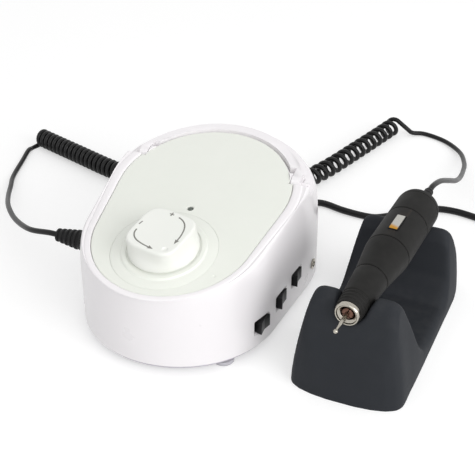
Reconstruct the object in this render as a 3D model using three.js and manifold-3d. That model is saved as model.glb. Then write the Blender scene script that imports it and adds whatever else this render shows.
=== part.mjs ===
// Electric nail drill: control box, handpiece lying in its cradle, curly cord and mains lead.
// Millimetres, +Z up. The pieces are placed about the middle of the control box's sides, with
// +Y towards its rear, and the whole is then centred over the origin, standing on Z = 0.

import * as THREE from "three";
import { mergeVertices } from "three/addons/utils/BufferGeometryUtils.js";
import Module from "manifold-3d";

const wasm = await Module();
wasm.setup();

// Fits
const clearance = 0.3;
const overrun = 5;

// Control box. Seen in plan it is the hull of a front and a rear circle at every height.
const bodyFrontRadius = 62.5;
const bodyFrontCentre = -14.7;
const bodyRearRadius = 66;
const bodyRearCentre = 40;
const rimFrontRadius = 54.3;
const rimFrontCentre = -24.2;
const rimRearRadius = 61.8;
const rimRearCentre = 18.4;
const rimHeight = 70.8;
const rim_slope_share = 0.22;
const shoulder_bend_share = 3.6;
const rear_fall_share = 0.9;
const fallStartY = 36;
const fallEndY = 70;
const wallThickness = 2.6;
const roofThickness = 2.5;

// Bottom tray, its feet and its screws
const footHeight = 2.6;
const footRadius = 6.5;
const footStemRadius = 2.5;
const footStemLength = 2;
const footX = 42.5;
const footFrontY = -49.5;
const footRearY = 78;
const trayThickness = 3;
const trayInset = 1.6;
const trayChamfer = 1.2;
const lipThickness = 1.6;
const lipHeight = 4;
const screwFrontY = -66;
const screwRearY = 62;
const screwShankRadius = 1.5;
const screwHeadRadius = 3;
const screwHeadHeight = 1.4;
const screwLength = 14;
const postRadius = 4;
const postHeight = 34;

// Top panel with the bead that frames it
const beadWidth = 4;
const grooveGap = 0.7;
const panelDrop = 0.8;
const panelThickness = 2.5;
const panelEdge = 0.6;
const ledgeWidth = 5;

// Carry handle round the rear of the rim
const barWidth = 6;
const barDepth = 6;
const handlePivotY = 44;
const earThickness = 5.6;
const earGap = 0.4;
const swingRoom = 1.4;
const swingGap = grooveGap + rim_slope_share * barDepth;
const handlePinRadius = 1.5;
const handlePinLength = 15;
const earBlockDepth = 14;
const earBlockMargin = 1.5;

// Speed control on the sloping panel
const knobY = -38.5;
const knobRadius = 21.45;
const knobHeight = 13.6;
const knobTopHalf = 17.3;
const knobWall = 2.4;
const knobHubRadius = 6;
const knobEdge = 1;
const knob_square_share = 4;
const knobTurn = THREE.MathUtils.degToRad(-10);
const dialRadius = 32.25;
const dialThickness = 1.5;
const dialProud = 0.6;
const collarRadius = 25;
const collarHeight = 1;
const shaftRadius = 3;
const shaftEngagement = 7;
const bushRadius = 4.6;
const potRadius = 12;
const potHeight = 10;
const potBoreDepth = 6;
const lensY = -1.8;
const lensRadius = 1.6;
const lensFlangeRadius = 2.8;
const lensFlangeHeight = 1;
const lensProud = 0.5;

// Three rockers and the pedal jack on the right wall, the handpiece socket on the left
const switch_places = [
  { y: -31.5, z: 19.5 },
  { y: -7.9, z: 23 },
  { y: 14.9, z: 25.4 },
];
const apertureWidth = 14;
const apertureHeight = 9.3;
const bossWidth = 20;
const bossHeight = 14;
const bossDepth = 6;
const rockerHalfWidth = 5.9;
const rockerHeight = 8.2;
const rockerFaceReach = 4.9;
const rockerDish = 1;
const rockerPivotDepth = 3;
const rockerRootHalfWidth = 3;
const rockerRootDepth = 2.4;
const rockerTilt = THREE.MathUtils.degToRad(11);
const switchBodyDepth = 11;
const switchBodyWidth = 17;
const switchBodyHeight = 12;
const switchMouthDepth = 4;
const jackY = 42;
const jackZ = 18.9;
const jackRadius = 3;
const jackBore = 1.75;
const jackFlangeRadius = 4.2;
const jackFlangeThickness = 0.8;
const jackLength = 12;
const plugY = -24.4;
const plugZ = 43.3;
const plugPinRadius = 4.6;
const plugPinLength = 16;
const plugFlareRadius = 6.4;
const plugNeckRadius = 3.6;
const plugLength = 21;
const plugRibs = 4;
const plugRibDepth = 0.8;
const socketRadius = 8.5;
const socketLength = 14;

// Inside the control box
const boardSideRoom = 28.5;
const boardWidth = 2 * (bodyFrontRadius - boardSideRoom);
const boardDepth = 44;
const boardThickness = 1.6;
const boardY = -20;
const boardHeight = 20;
const pillarRadius = 2.5;
const pillarInset = 4;
const coreWidth = 50;
const coreDepth = 38;
const coreHeight = 34;
const coreX = -12;
const coreY = 52;
const coreLegWidth = 14;
const coreYoke = 6;
const windingOverhang = 8;
const sink_width_share = 0.44;
const sinkWidth = sink_width_share * boardWidth;
const sinkDepth = 12;
const sinkHeight = 18;
const sinkBase = 3;
const sinkFins = 5;
const sinkEdgeGap = 3;
const sinkRearGap = 4;
const sinkX = boardWidth / 2 - sinkWidth / 2 - sinkEdgeGap;
const sinkY = boardY + boardDepth / 2 - sinkDepth / 2 - sinkRearGap;
const capacitorRadius = 8;
const capacitorHeight = 20;
const capacitorGap = 5;
const capacitorX = capacitorRadius + capacitorGap - boardWidth / 2;
const capacitorY = boardY + boardDepth / 2 - capacitorRadius - capacitorGap;

// Handpiece, along its own +Y from the face of the nose ring to the tail
const handpieceNose = new THREE.Vector3(117, -53.9, 58);
const handpieceTail = new THREE.Vector3(128, 82, 64.5);
const noseRingLength = 3;
const noseRingRadius = 7.4;
const noseRingTail = 6;
const noseRingWall = 1.5;
const sleeveFrontRadius = 8;
const sleeveRearRadius = 10.3;
const sleeveEnd = 35.5;
const sleeveRibs = 4;
const sleeveRibStart = 5;
const sleeveRibPitch = 2.6;
const sleeveRibDepth = 0.5;
const taperEnd = 62;
const barrelRadius = 13.65;
const barrelEnd = 94.5;
const capEnd = 121;
const capChamfer = 4;
const capEndRadius = 11.5;
const jointGap = 0.5;
const barrelWall = 1.9;
const noseTubeRadius = 5.4;
const noseTubeWall = 0.9;
const noseTubeStart = 13;
const spindleRadius = 2.2;
const colletRadius = 3.9;
const colletStart = 1;
const colletLength = 10;
const colletBore = 1.5;
const burShankRadius = 1.175;
const burBallRadius = 1.7;
const burReach = 16;
const burGrip = 8;
const bearingLength = 5;
const frontBearingStart = 22;
const rearBearingStart = 97.5;
const rearBearingRadius = 7;
const magnetWall = 2.8;
const magnetStart = 66.5;
const magnetLength = 23;
const rotorAirGap = 0.5;
const rotorMargin = 2;
const commutatorRadius = 4.2;
const commutatorLength = 6;
const brushWidth = 3;
const brushLength = 4;
const bridgeThickness = 2;
const reliefRootRadius = 3.6;
const reliefTipRadius = 2.6;
const reliefLength = 18;
const reliefRibs = 5;
const reliefRibDepth = 0.5;
const plateLength = 16;
const plateWidth = 5.8;
const plateThickness = 1;
const platePlace = 77;

// Cradle
const cradleX = 119.8;
const cradleDrift = 1.5;
const cradleFrontY = -59;
const cradleLength = 144;
const cradleHalfWidth = 35;
const cradleHeight = 67.5;
const cradleLean = 11.5;
const cradleEdge = 5;
const saddleRise = 30;
const saddle_flare_share = 0.62;
const lean_bend_share = 1.5;
// Each row is a place along the cradle, then the half width and the height there
const cradle_section_shares = [
  [0, 0.23, 0.1], [0.007, 0.51, 0.3], [0.021, 0.74, 0.48], [0.042, 0.89, 0.66],
  [0.069, 0.957, 0.79], [0.097, 0.97, 0.885], [0.125, 0.97, 0.93], [0.153, 0.97, 0.925],
  [0.177, 0.97, 0.875], [0.222, 0.977, 0.67], [0.271, 0.98, 0.44], [0.319, 0.983, 0.27],
  [0.368, 0.986, 0.17], [0.41, 0.986, 0.148], [0.688, 0.994, 0.148], [0.729, 0.997, 0.222],
  [0.764, 1, 0.36], [0.785, 1, 0.54], [0.799, 1, 0.68], [0.819, 1, 0.765],
  [0.84, 1, 0.785], [0.868, 1, 0.75], [0.903, 0.986, 0.655], [0.938, 0.971, 0.52],
  [0.965, 0.93, 0.385], [0.986, 0.86, 0.207], [1, 0.74, 0.1],
];

// Cords
const strandRadius = 1.85;
const curlRadius = 5.7;
const curlCount = 59;
const curl_last_share = 0.625;
const curlStartPitch = 4.65;
const curlEndPitch = 8;
const curl_even_share = 0.24;
const curl_open_share = 0.7;
const mainsRadius = 2.5;
const glandX = 22;
const glandZ = 17;
const mainsReliefLength = 22;
const mainsReliefRadius = 4.2;
const mainsReliefRibs = 4;
const glandFlangeRadius = 6;
const glandFlangeThickness = 2;
const glandPadDepth = 6;
const coilX = 206;
const coilY = 190;
const coilOuterRadius = 31.7;
const coilLayers = 4;
const coilTurns = 7;
const climb_half_share = 0.25;
const strandGap = 0.45;
const tieThickness = 1.2;
const tieWidth = 6;
const tieGap = 0.35;
const mainsPlugLength = 36;
const mainsPlugWidth = 26;
const mainsPlugHeight = 15;
const mainsPlugCorner = 5;
const contactRadius = 2;
const contactLength = 19;
const contactSpacing = 19;

// Facets
const outlineSteps = 14;
const shoulderSteps = 7;
const turnedFacets = 18;
const smallFacets = 10;
const knobFacets = 28;
const leadSides = 8;
const curlSides = 5;
const curlSteps = 8;
const loopSides = 6;
const loopSteps = 20;
const weldDistance = 1e-4;

// Values worked out from the sizes above
const rimTilt = Math.atan(rim_slope_share);
const trayBottom = footHeight + clearance;
const trayTop = trayBottom + trayThickness;
const seamZ = trayTop + clearance;
const rebateDepth = barDepth + clearance;
const roofDepth = rebateDepth + roofThickness;
const bodyPlan = {
  frontRadius: bodyFrontRadius, frontCentre: bodyFrontCentre,
  rearRadius: bodyRearRadius, rearCentre: bodyRearCentre,
};
const rimPlan = {
  frontRadius: rimFrontRadius, frontCentre: rimFrontCentre,
  rearRadius: rimRearRadius, rearCentre: rimRearCentre,
};
const pocketPlan = {
  frontRadius: rimFrontRadius - beadWidth, frontCentre: rimFrontCentre,
  rearRadius: rimRearRadius - barWidth, rearCentre: rimRearCentre,
};
const pocketDepth = panelDrop + panelThickness + clearance;

const finish = (color, roughness, metalness = 0) =>
  new THREE.MeshStandardMaterial({ color, roughness, metalness });
const glossWhite = finish(0xf4f3f1, 0.25);
const pearlPanel = finish(0xe9ebe6, 0.4);
const softBlack = finish(0x262523, 0.6);
const cradleSlate = finish(0x323438, 0.75);
const cordBlack = finish(0x151515, 0.45);
const switchBlack = finish(0x1a1a1c, 0.4);
const rubberGrey = finish(0x55555a, 0.9);
const steel = finish(0xc9c7c2, 0.25, 1);
const darkSteel = finish(0x6f6a66, 0.4, 1);
const copper = finish(0xb06a3a, 0.45, 0.8);
const boardGreen = finish(0x2f6b45, 0.6);
const silverPlate = finish(0xc8c6bd, 0.35, 0.9);
const plasticGrey = finish(0x3a3a3c, 0.5);
const lensAmber = finish(0x8a8f86, 0.2);

// Height of the rim plane, lowered by a drop measured straight down
function deckZ(y, drop = 0) {
  return rimHeight + rim_slope_share * y - drop;
}

// Welds a geometry's vertices, drops collapsed triangles and turns its faces outwards
function closed(geometry) {
  const bare = geometry.clone();
  bare.deleteAttribute("normal");
  bare.deleteAttribute("uv");
  const welded = mergeVertices(bare, weldDistance);
  const corners = welded.index.array;
  const kept = [];
  for (let i = 0; i < corners.length; i += 3) {
    const [a, b, c] = [corners[i], corners[i + 1], corners[i + 2]];
    if (a !== b && b !== c && c !== a) kept.push(a, b, c);
  }
  const place = welded.attributes.position;
  const [p, q, r] = [new THREE.Vector3(), new THREE.Vector3(), new THREE.Vector3()];
  let volume = 0;
  for (let i = 0; i < kept.length; i += 3) {
    p.fromBufferAttribute(place, kept[i]);
    q.fromBufferAttribute(place, kept[i + 1]);
    r.fromBufferAttribute(place, kept[i + 2]);
    volume += p.dot(q.cross(r));
  }
  if (volume < 0) kept.reverse();
  welded.setIndex(kept);
  return welded;
}

function toSolid(geometry, matrix) {
  const body = closed(geometry);
  if (matrix) body.applyMatrix4(matrix);
  return new wasm.Manifold(new wasm.Mesh({
    numProp: 3,
    vertProperties: new Float32Array(body.attributes.position.array),
    triVerts: new Uint32Array(body.index.array),
  }));
}

function toGeometry(solid) {
  const mesh = solid.getMesh();
  const geometry = new THREE.BufferGeometry();
  geometry.setAttribute("position", new THREE.BufferAttribute(mesh.vertProperties, 3));
  geometry.setIndex(new THREE.BufferAttribute(mesh.triVerts, 1));
  return geometry;
}

// Takes the cutters away from a solid and gives back a geometry
function cut(solid, ...cutters) {
  return toGeometry(cutters.reduce((rest, cutter) => rest.subtract(cutter), solid));
}

// Skin through a row of rings with the same number of points, closed by a flat cap at each end
function loft(rings) {
  const count = rings[0].length;
  const positions = rings.flatMap((ring) => ring.flatMap((p) => [p.x, p.y, p.z]));
  const index = [];
  for (let level = 0; level < rings.length - 1; level += 1) {
    for (let i = 0; i < count; i += 1) {
      const a = level * count + i;
      const b = level * count + ((i + 1) % count);
      index.push(a, b, b + count, a, b + count, a + count);
    }
  }
  const lastRing = (rings.length - 1) * count;
  for (const [a, b, c] of capTriangles(rings[0])) index.push(a, c, b);
  for (const [a, b, c] of capTriangles(rings[rings.length - 1])) {
    index.push(lastRing + a, lastRing + b, lastRing + c);
  }
  const geometry = new THREE.BufferGeometry();
  geometry.setAttribute("position", new THREE.Float32BufferAttribute(positions, 3));
  geometry.setIndex(index);
  return geometry;
}

// Triangles over a flat ring, wound the way that the ring runs
function capTriangles(ring) {
  const normal = new THREE.Vector3();
  ring.forEach((p, i) => normal.add(p.clone().cross(ring[(i + 1) % ring.length])));
  const sizes = normal.toArray().map(Math.abs);
  const dropped = sizes.indexOf(Math.max(...sizes));
  const flat = ring.map((p) => {
    const [u, v] = p.toArray().filter((_, axis) => axis !== dropped);
    return new THREE.Vector2(u, v);
  });
  const ringSign = Math.sign(THREE.ShapeUtils.area(flat));
  return THREE.ShapeUtils.triangulateShape(flat, []).map(([a, b, c]) => {
    const side = THREE.ShapeUtils.area([flat[a], flat[b], flat[c]]);
    return Math.sign(side) === ringSign ? [a, b, c] : [a, c, b];
  });
}

function mixPlans(from, to, share) {
  const mix = (key) => THREE.MathUtils.lerp(from[key], to[key], share);
  return {
    frontRadius: mix("frontRadius"), frontCentre: mix("frontCentre"),
    rearRadius: mix("rearRadius"), rearCentre: mix("rearCentre"),
  };
}

// Angle at which a plan's straight sides leave its two circles
function sideAngle(plan) {
  return Math.asin((plan.frontRadius - plan.rearRadius) / (plan.rearCentre - plan.frontCentre));
}

// Ring of a plan outline, drawn in by an inset, at the height that heightAt gives for Y and X
function planRing(plan, inset, heightAt) {
  const side = sideAngle(plan);
  const ring = [];
  const arc = (centre, radius, start, end) => {
    for (let i = 0; i <= outlineSteps; i += 1) {
      const angle = start + ((end - start) * i) / outlineSteps;
      const y = centre + radius * Math.sin(angle);
      const x = radius * Math.cos(angle);
      ring.push(new THREE.Vector3(x, y, heightAt(y, x)));
    }
  };
  arc(plan.rearCentre, plan.rearRadius - inset, side, Math.PI - side);
  arc(plan.frontCentre, plan.frontRadius - inset, Math.PI - side, 2 * Math.PI + side);
  return ring;
}

function planPrism(plan, inset, lowAt, highAt) {
  return toSolid(loft([planRing(plan, inset, lowAt), planRing(plan, inset, highAt)]));
}

// How far the shoulder behind the rim falls below the rim's plane
function rearFall(x, y) {
  const beyond = Math.hypot(x, y - rimRearCentre) - rimRearRadius;
  const share = rear_fall_share * THREE.MathUtils.smoothstep(y, fallStartY, fallEndY);
  return share * Math.max(beyond, 0);
}

// Body of the control box: walls that stand straight and roll over into the sloping rim
function bodySolid(inset, floorZ, drop) {
  const rings = [];
  for (let step = 0; step <= shoulderSteps; step += 1) {
    const turn = (Math.PI / 2) * (step / shoulderSteps);
    const rise = Math.sin(turn) ** (2 / shoulder_bend_share);
    const lean = 1 - Math.cos(turn) ** (2 / shoulder_bend_share);
    const heightAt = (y, x) => floorZ + rise * (deckZ(y, drop) - rearFall(x, y) - floorZ);
    rings.push(planRing(mixPlans(bodyPlan, rimPlan, lean), inset, heightAt));
  }
  return toSolid(loft(rings));
}

// Where the body's right wall stands at a Y, and which way it faces
function wallAt(y) {
  const side = sideAngle(bodyPlan);
  const frontEnd = bodyFrontCentre + bodyFrontRadius * Math.sin(side);
  const rearEnd = bodyRearCentre + bodyRearRadius * Math.sin(side);
  if (y < frontEnd) {
    const angle = Math.asin((y - bodyFrontCentre) / bodyFrontRadius);
    return { x: bodyFrontRadius * Math.cos(angle), angle };
  }
  if (y > rearEnd) {
    const angle = Math.asin((y - bodyRearCentre) / bodyRearRadius);
    return { x: bodyRearRadius * Math.cos(angle), angle };
  }
  const share = (y - frontEnd) / (rearEnd - frontEnd);
  const x = THREE.MathUtils.lerp(bodyFrontRadius, bodyRearRadius, share) * Math.cos(side);
  return { x, angle: side };
}

// Where the inner face of the right wall stands at a Y and a height, with the shoulder's lean
function innerWallX(y, z) {
  const rise = Math.min(z / deckZ(y, roofDepth), 1);
  const turn = Math.asin(rise ** (shoulder_bend_share / 2));
  const plan = mixPlans(bodyPlan, rimPlan, 1 - Math.cos(turn) ** (2 / shoulder_bend_share));
  const [radius, centre] = y < plan.frontCentre
    ? [plan.frontRadius, plan.frontCentre] : [Math.min(plan.frontRadius, plan.rearRadius), y];
  return Math.sqrt((radius - wallThickness) ** 2 - (y - centre) ** 2);
}

// Solid of revolution about Y from radius and place pairs
function turned(profile, facets = turnedFacets) {
  return new THREE.LatheGeometry(profile.map(([r, y]) => new THREE.Vector2(r, y)), facets);
}

// Round bar about Z between two heights
function post(x, y, radius, low, high, facets = smallFacets) {
  const geometry = new THREE.CylinderGeometry(radius, radius, high - low, facets);
  geometry.rotateX(Math.PI / 2);
  geometry.translate(x, y, (low + high) / 2);
  return geometry;
}

// Block between two corners
function block(low, high) {
  const geometry = new THREE.BoxGeometry(high[0] - low[0], high[1] - low[1], high[2] - low[2]);
  geometry.translate((low[0] + high[0]) / 2, (low[1] + high[1]) / 2, (low[2] + high[2]) / 2);
  return geometry;
}

// Round bar or hole along X
function crossBar(radius, lowX, highX, y, z, facets = smallFacets) {
  const geometry = new THREE.CylinderGeometry(radius, radius, highX - lowX, facets);
  geometry.rotateZ(Math.PI / 2);
  geometry.translate((lowX + highX) / 2, y, z);
  return geometry;
}

// Round bar or hole along Y
function lengthBar(radius, x, lowY, highY, z, facets = smallFacets) {
  const geometry = new THREE.CylinderGeometry(radius, radius, highY - lowY, facets);
  geometry.translate(x, (lowY + highY) / 2, z);
  return geometry;
}

// Straight-sided tube along a curve
function tubeAlong(curve, radius, sides, steps) {
  const section = [];
  for (let i = 0; i < sides; i += 1) {
    const angle = (2 * Math.PI * i) / sides;
    section.push(new THREE.Vector2(radius * Math.cos(angle), radius * Math.sin(angle)));
  }
  const settings = { steps, extrudePath: curve, bevelEnabled: false };
  return new THREE.ExtrudeGeometry(new THREE.Shape(section), settings);
}

// Tube through points that lie close together, with its section carried along without twist
function sweep(points, radius, sides) {
  const rings = [];
  let across = new THREE.Vector3(0, 0, 1);
  points.forEach((point, i) => {
    const before = points[Math.max(i - 1, 0)];
    const after = points[Math.min(i + 1, points.length - 1)];
    const along = after.clone().sub(before).normalize();
    across = across.clone().addScaledVector(along, -across.dot(along)).normalize();
    const third = along.clone().cross(across);
    const ring = [];
    for (let k = 0; k < sides; k += 1) {
      const angle = (2 * Math.PI * k) / sides;
      ring.push(point.clone()
        .addScaledVector(across, radius * Math.cos(angle))
        .addScaledVector(third, radius * Math.sin(angle)));
    }
    rings.push(ring);
  });
  return loft(rings);
}

// Least distance between two stretches of one path that are more than a span apart along it
function leastSelfGap(points, diameter, span) {
  const along = [0];
  for (let i = 1; i < points.length; i += 1) {
    along.push(along[i - 1] + points[i].distanceTo(points[i - 1]));
  }
  let least = Infinity;
  for (let i = 0; i < points.length; i += 1) {
    for (let j = i + 1; j < points.length; j += 1) {
      if (along[j] - along[i] > span) least = Math.min(least, points[i].distanceTo(points[j]));
    }
  }
  return least - diameter;
}

const assembly = new THREE.Group();
const device = new THREE.Group();
const cords = new THREE.Group();
assembly.add(device, cords);

function addPiece(name, geometry, material, parent = device) {
  const mesh = new THREE.Mesh(closed(geometry), material);
  mesh.name = name;
  parent.add(mesh);
  return mesh;
}

const bothSides = [["left", -1], ["right", 1]];
const plugWallX = wallAt(plugY).x;

// The socket seats on a pad as deep as the deepest place of the wall behind its rim
const socketPadDepth = clearance + Math.max(...Array.from({ length: turnedFacets }, (_, i) => {
  const angle = (2 * Math.PI * i) / turnedFacets;
  return plugWallX - innerWallX(
    plugY + socketRadius * Math.cos(angle), plugZ + socketRadius * Math.sin(angle));
}));
const glandWallY = bodyRearCentre + Math.sqrt(bodyRearRadius ** 2 - glandX ** 2);
const postPlaces = [screwFrontY, screwRearY].flatMap((y) =>
  [-1, 1].map((hand) => {
    const wall = wallAt(y);
    const reach = wallThickness + postRadius - 1.2 * clearance;
    return {
      x: hand * (wall.x - reach * Math.cos(wall.angle)),
      y: y - reach * Math.sin(wall.angle),
    };
  }));

// Bottom tray with its locating lip, board pillars and holes
function buildTray() {
  const level = (z) => () => z;
  const plate = toSolid(loft([
    planRing(bodyPlan, trayInset + trayChamfer, level(trayBottom)),
    planRing(bodyPlan, trayInset, level(trayBottom + trayChamfer)),
    planRing(bodyPlan, trayInset, level(trayTop)),
  ]));
  const lipInset = wallThickness + clearance;
  const lipOuter = planPrism(bodyPlan, lipInset, level(trayTop - trayChamfer), level(trayTop + lipHeight));
  const lipInner = planPrism(
    bodyPlan, lipInset + lipThickness, level(trayTop), level(trayTop + lipHeight + overrun));
  let lip = lipOuter.subtract(lipInner);
  for (const { x, y } of postPlaces) {
    const space = postRadius + 2 * clearance;
    lip = lip.subtract(toSolid(post(x, y, space, trayTop, trayTop + lipHeight + overrun)));
  }
  let tray = plate.add(lip);
  const pillarX = boardWidth / 2 - pillarInset;
  const pillarY = boardDepth / 2 - pillarInset;
  for (const [sx, sy] of [[-1, -1], [1, -1], [1, 1], [-1, 1]]) {
    const top = boardHeight - clearance;
    tray = tray.add(toSolid(
      post(sx * pillarX, boardY + sy * pillarY, pillarRadius, trayTop - trayChamfer, top)));
  }
  const holes = [];
  for (const { x, y } of postPlaces) {
    const bore = screwShankRadius + clearance;
    const sink = trayBottom + screwHeadHeight + 2 * clearance;
    holes.push(toSolid(post(x, y, bore, 0, trayTop + overrun)));
    holes.push(toSolid(post(x, y, screwHeadRadius + clearance, 0, sink)));
  }
  for (const { x, y } of footPlaces) {
    holes.push(toSolid(post(x, y, footStemRadius + clearance, 0, trayTop + overrun)));
  }
  addPiece("bottom_tray", cut(tray, ...holes), glossWhite);
}

const footPlaces = [footFrontY, footRearY].flatMap((y) =>
  [-1, 1].map((hand) => ({ x: hand * footX, y })));

function buildFeetAndScrews() {
  footPlaces.forEach(({ x, y }, i) => {
    const profile = [
      [0, 0], [footRadius, 0], [footRadius, footHeight], [footStemRadius, footHeight],
      [footStemRadius, footHeight + footStemLength], [0, footHeight + footStemLength],
    ];
    const foot = addPiece(`foot_${i + 1}`, turned(profile, smallFacets), rubberGrey);
    foot.rotation.x = Math.PI / 2;
    foot.position.set(x, y, 0);
  });
  postPlaces.forEach(({ x, y }, i) => {
    const profile = [
      [0, 0], [screwHeadRadius, 0], [screwHeadRadius, screwHeadHeight],
      [screwShankRadius, screwHeadHeight], [screwShankRadius, screwLength], [0, screwLength],
    ];
    const screw = addPiece(`tray_screw_${i + 1}`, turned(profile, smallFacets), darkSteel);
    screw.rotation.x = Math.PI / 2;
    screw.position.set(x, y, trayBottom + clearance);
  });
}

const earX = (rimRearRadius - barWidth / 2)
  * Math.cos(Math.asin((handlePivotY - rimRearCentre) / (rimRearRadius - barWidth / 2)));
const earRadius = barDepth;
const pivotZ = deckZ(handlePivotY, barDepth);
const pocketRadius = earRadius + earGap;
const rebateFrontY = handlePivotY - pocketRadius - swingRoom;

// Slot above one pivot that the handle's ear swings through
function earSlot(hand) {
  const halfEar = earThickness / 2 + earGap;
  const xs = [hand * (earX - halfEar), hand * (earX + halfEar)].sort((a, b) => a - b);
  return toSolid(block(
    [xs[0], rebateFrontY, pivotZ], [xs[1], handlePivotY + pocketRadius, pivotZ + 4 * earRadius]));
}

// Ring sector behind a Y, between two radii about the rim's rear centre
function rearSector(innerRadius, outerRadius, frontY, lowDrop, highDrop) {
  const ring = (drop) => {
    const points = [];
    const arc = (radius, forwards) => {
      const start = Math.asin((frontY - rimRearCentre) / radius);
      for (let i = 0; i <= outlineSteps; i += 1) {
        const share = forwards ? i / outlineSteps : 1 - i / outlineSteps;
        const angle = start + (Math.PI - 2 * start) * share;
        const y = rimRearCentre + radius * Math.sin(angle);
        points.push(new THREE.Vector3(radius * Math.cos(angle), y, deckZ(y, drop)));
      }
    };
    arc(outerRadius, true);
    arc(innerRadius, false);
    return points;
  };
  return toSolid(loft([ring(lowDrop), ring(highDrop)]));
}

// Turns a shape whose +X faces out of the wall, +Y runs along it and +Z is up
function wallFrame(y, z) {
  const wall = wallAt(y);
  return new THREE.Matrix4().makeRotationZ(wall.angle).setPosition(wall.x, y, z);
}

function buildHousing() {
  const outer = bodySolid(0, seamZ, 0);
  const cavity = bodySolid(wallThickness, seamZ - overrun, roofDepth);
  let shell = outer.subtract(cavity);
  const extras = [];
  for (const { x, y } of postPlaces) {
    extras.push(toSolid(post(x, y, postRadius, seamZ, seamZ + postHeight)));
  }
  const halfEar = earThickness / 2 + earGap;
  for (const [, hand] of bothSides) {
    const inner = earX - handlePinLength / 2 - clearance;
    const outerX = earX + handlePinLength / 2 + overrun;
    const xs = [hand * inner, hand * outerX].sort((a, b) => a - b);
    extras.push(toSolid(block(
      [xs[0], rebateFrontY - earBlockMargin, pivotZ - earBlockDepth + earRadius],
      [xs[1], handlePivotY + pocketRadius + earBlockMargin, pivotZ + 2 * earRadius])));
  }
  for (const { y, z } of switch_places) {
    extras.push(toSolid(block(
      [-bossDepth, -bossWidth / 2, -bossHeight / 2], [overrun, bossWidth / 2, bossHeight / 2],
    ), wallFrame(y, z)));
  }
  extras.push(toSolid(crossBar(
    socketRadius, -plugWallX - overrun, -plugWallX + socketPadDepth, plugY, plugZ)));
  extras.push(toSolid(lengthBar(
    glandFlangeRadius + clearance, glandX, glandWallY - glandPadDepth, glandWallY + overrun, glandZ)));
  for (const extra of extras) shell = shell.add(extra.intersect(outer));
  const cutters = [
    planPrism(pocketPlan, 0, (y) => deckZ(y, pocketDepth), (y) => deckZ(y, -overrun)),
    planPrism(pocketPlan, ledgeWidth, (y) => deckZ(y, roofDepth + overrun), (y) => deckZ(y, -overrun)),
    rearSector(rimRearRadius - barWidth - earGap, bodyRearRadius + 2 * bodyRearCentre,
      rebateFrontY, rebateDepth, -overrun),
  ];
  for (const [, hand] of bothSides) {
    const xs = [hand * (earX - halfEar), hand * (earX + halfEar)].sort((a, b) => a - b);
    cutters.push(toSolid(crossBar(pocketRadius, xs[0], xs[1], handlePivotY, pivotZ)));
    cutters.push(earSlot(hand));
    const pinReach = handlePinLength / 2 + clearance;
    const pins = [hand * (earX - pinReach - overrun), hand * (earX + pinReach)].sort((a, b) => a - b);
    cutters.push(toSolid(
      crossBar(handlePinRadius + clearance, pins[0], pins[1], handlePivotY, pivotZ)));
  }
  for (const { y, z } of switch_places) {
    cutters.push(toSolid(block(
      [-bossDepth - overrun, -apertureWidth / 2, -apertureHeight / 2],
      [overrun, apertureWidth / 2, apertureHeight / 2]), wallFrame(y, z)));
  }
  cutters.push(toSolid(crossBar(
    plugPinRadius + 2 * clearance, -plugWallX - overrun, -plugWallX + 3 * overrun, plugY, plugZ)));
  const jackWall = wallAt(jackY).x;
  cutters.push(toSolid(crossBar(
    jackRadius + clearance, jackWall - 3 * overrun, jackWall + overrun, jackY, jackZ)));
  cutters.push(toSolid(lengthBar(
    mainsReliefRadius + clearance, glandX, glandWallY - 3 * overrun, glandWallY + overrun, glandZ)));
  for (const { x, y } of postPlaces) {
    const boreTop = trayBottom + clearance + screwLength + clearance;
    cutters.push(toSolid(post(x, y, screwShankRadius + clearance, 0, boreTop)));
  }
  addPiece("upper_housing", cut(shell, ...cutters), glossWhite);
}

// Handle: a bar round the rear of the rim with a round ear on each pivot pin
function buildHandle() {
  const bar = rearSector(rimRearRadius - barWidth, rimRearRadius, handlePivotY, barDepth, 0);
  let handle = bar;
  for (const [, hand] of bothSides) {
    const xs = [hand * (earX - earThickness / 2), hand * (earX + earThickness / 2)]
      .sort((a, b) => a - b);
    handle = handle.add(toSolid(
      crossBar(earRadius, xs[0], xs[1], handlePivotY, pivotZ, turnedFacets)));
  }
  const holes = bothSides.map(([, hand]) => {
    const xs = [hand * (earX - earThickness), hand * (earX + earThickness)].sort((a, b) => a - b);
    return toSolid(crossBar(handlePinRadius + clearance, xs[0], xs[1], handlePivotY, pivotZ));
  });
  const neck = earX - earThickness / 2;
  holes.push(toSolid(block(
    [-neck, rebateFrontY, pivotZ - earRadius],
    [neck, handlePivotY + pocketRadius, pivotZ + 4 * earRadius])));
  addPiece("carry_handle", cut(handle, ...holes), glossWhite);
  for (const [side, hand] of bothSides) {
    const pin = crossBar(handlePinRadius, -handlePinLength / 2, handlePinLength / 2, 0, 0);
    const mesh = addPiece(`handle_pin_${side}`, pin, steel);
    mesh.position.set(hand * earX, handlePivotY, pivotZ);
  }
}

// The sloping deck: +Z is its normal, and Z = 0 is the rim plane
const deck = new THREE.Group();
deck.position.z = rimHeight;
deck.rotation.x = rimTilt;
device.add(deck);
deck.updateMatrix();

const panelTop = -panelDrop * Math.cos(rimTilt);
const panelBase = panelTop - panelThickness * Math.cos(rimTilt);
const knobPlace = knobY / Math.cos(rimTilt);
const lensPlace = lensY / Math.cos(rimTilt);
const dialTop = panelTop + dialProud;
const collarTop = dialTop + collarHeight;
const knobBase = collarTop + clearance;

function onDeck(geometry) {
  return toSolid(geometry, deck.matrix);
}

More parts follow.
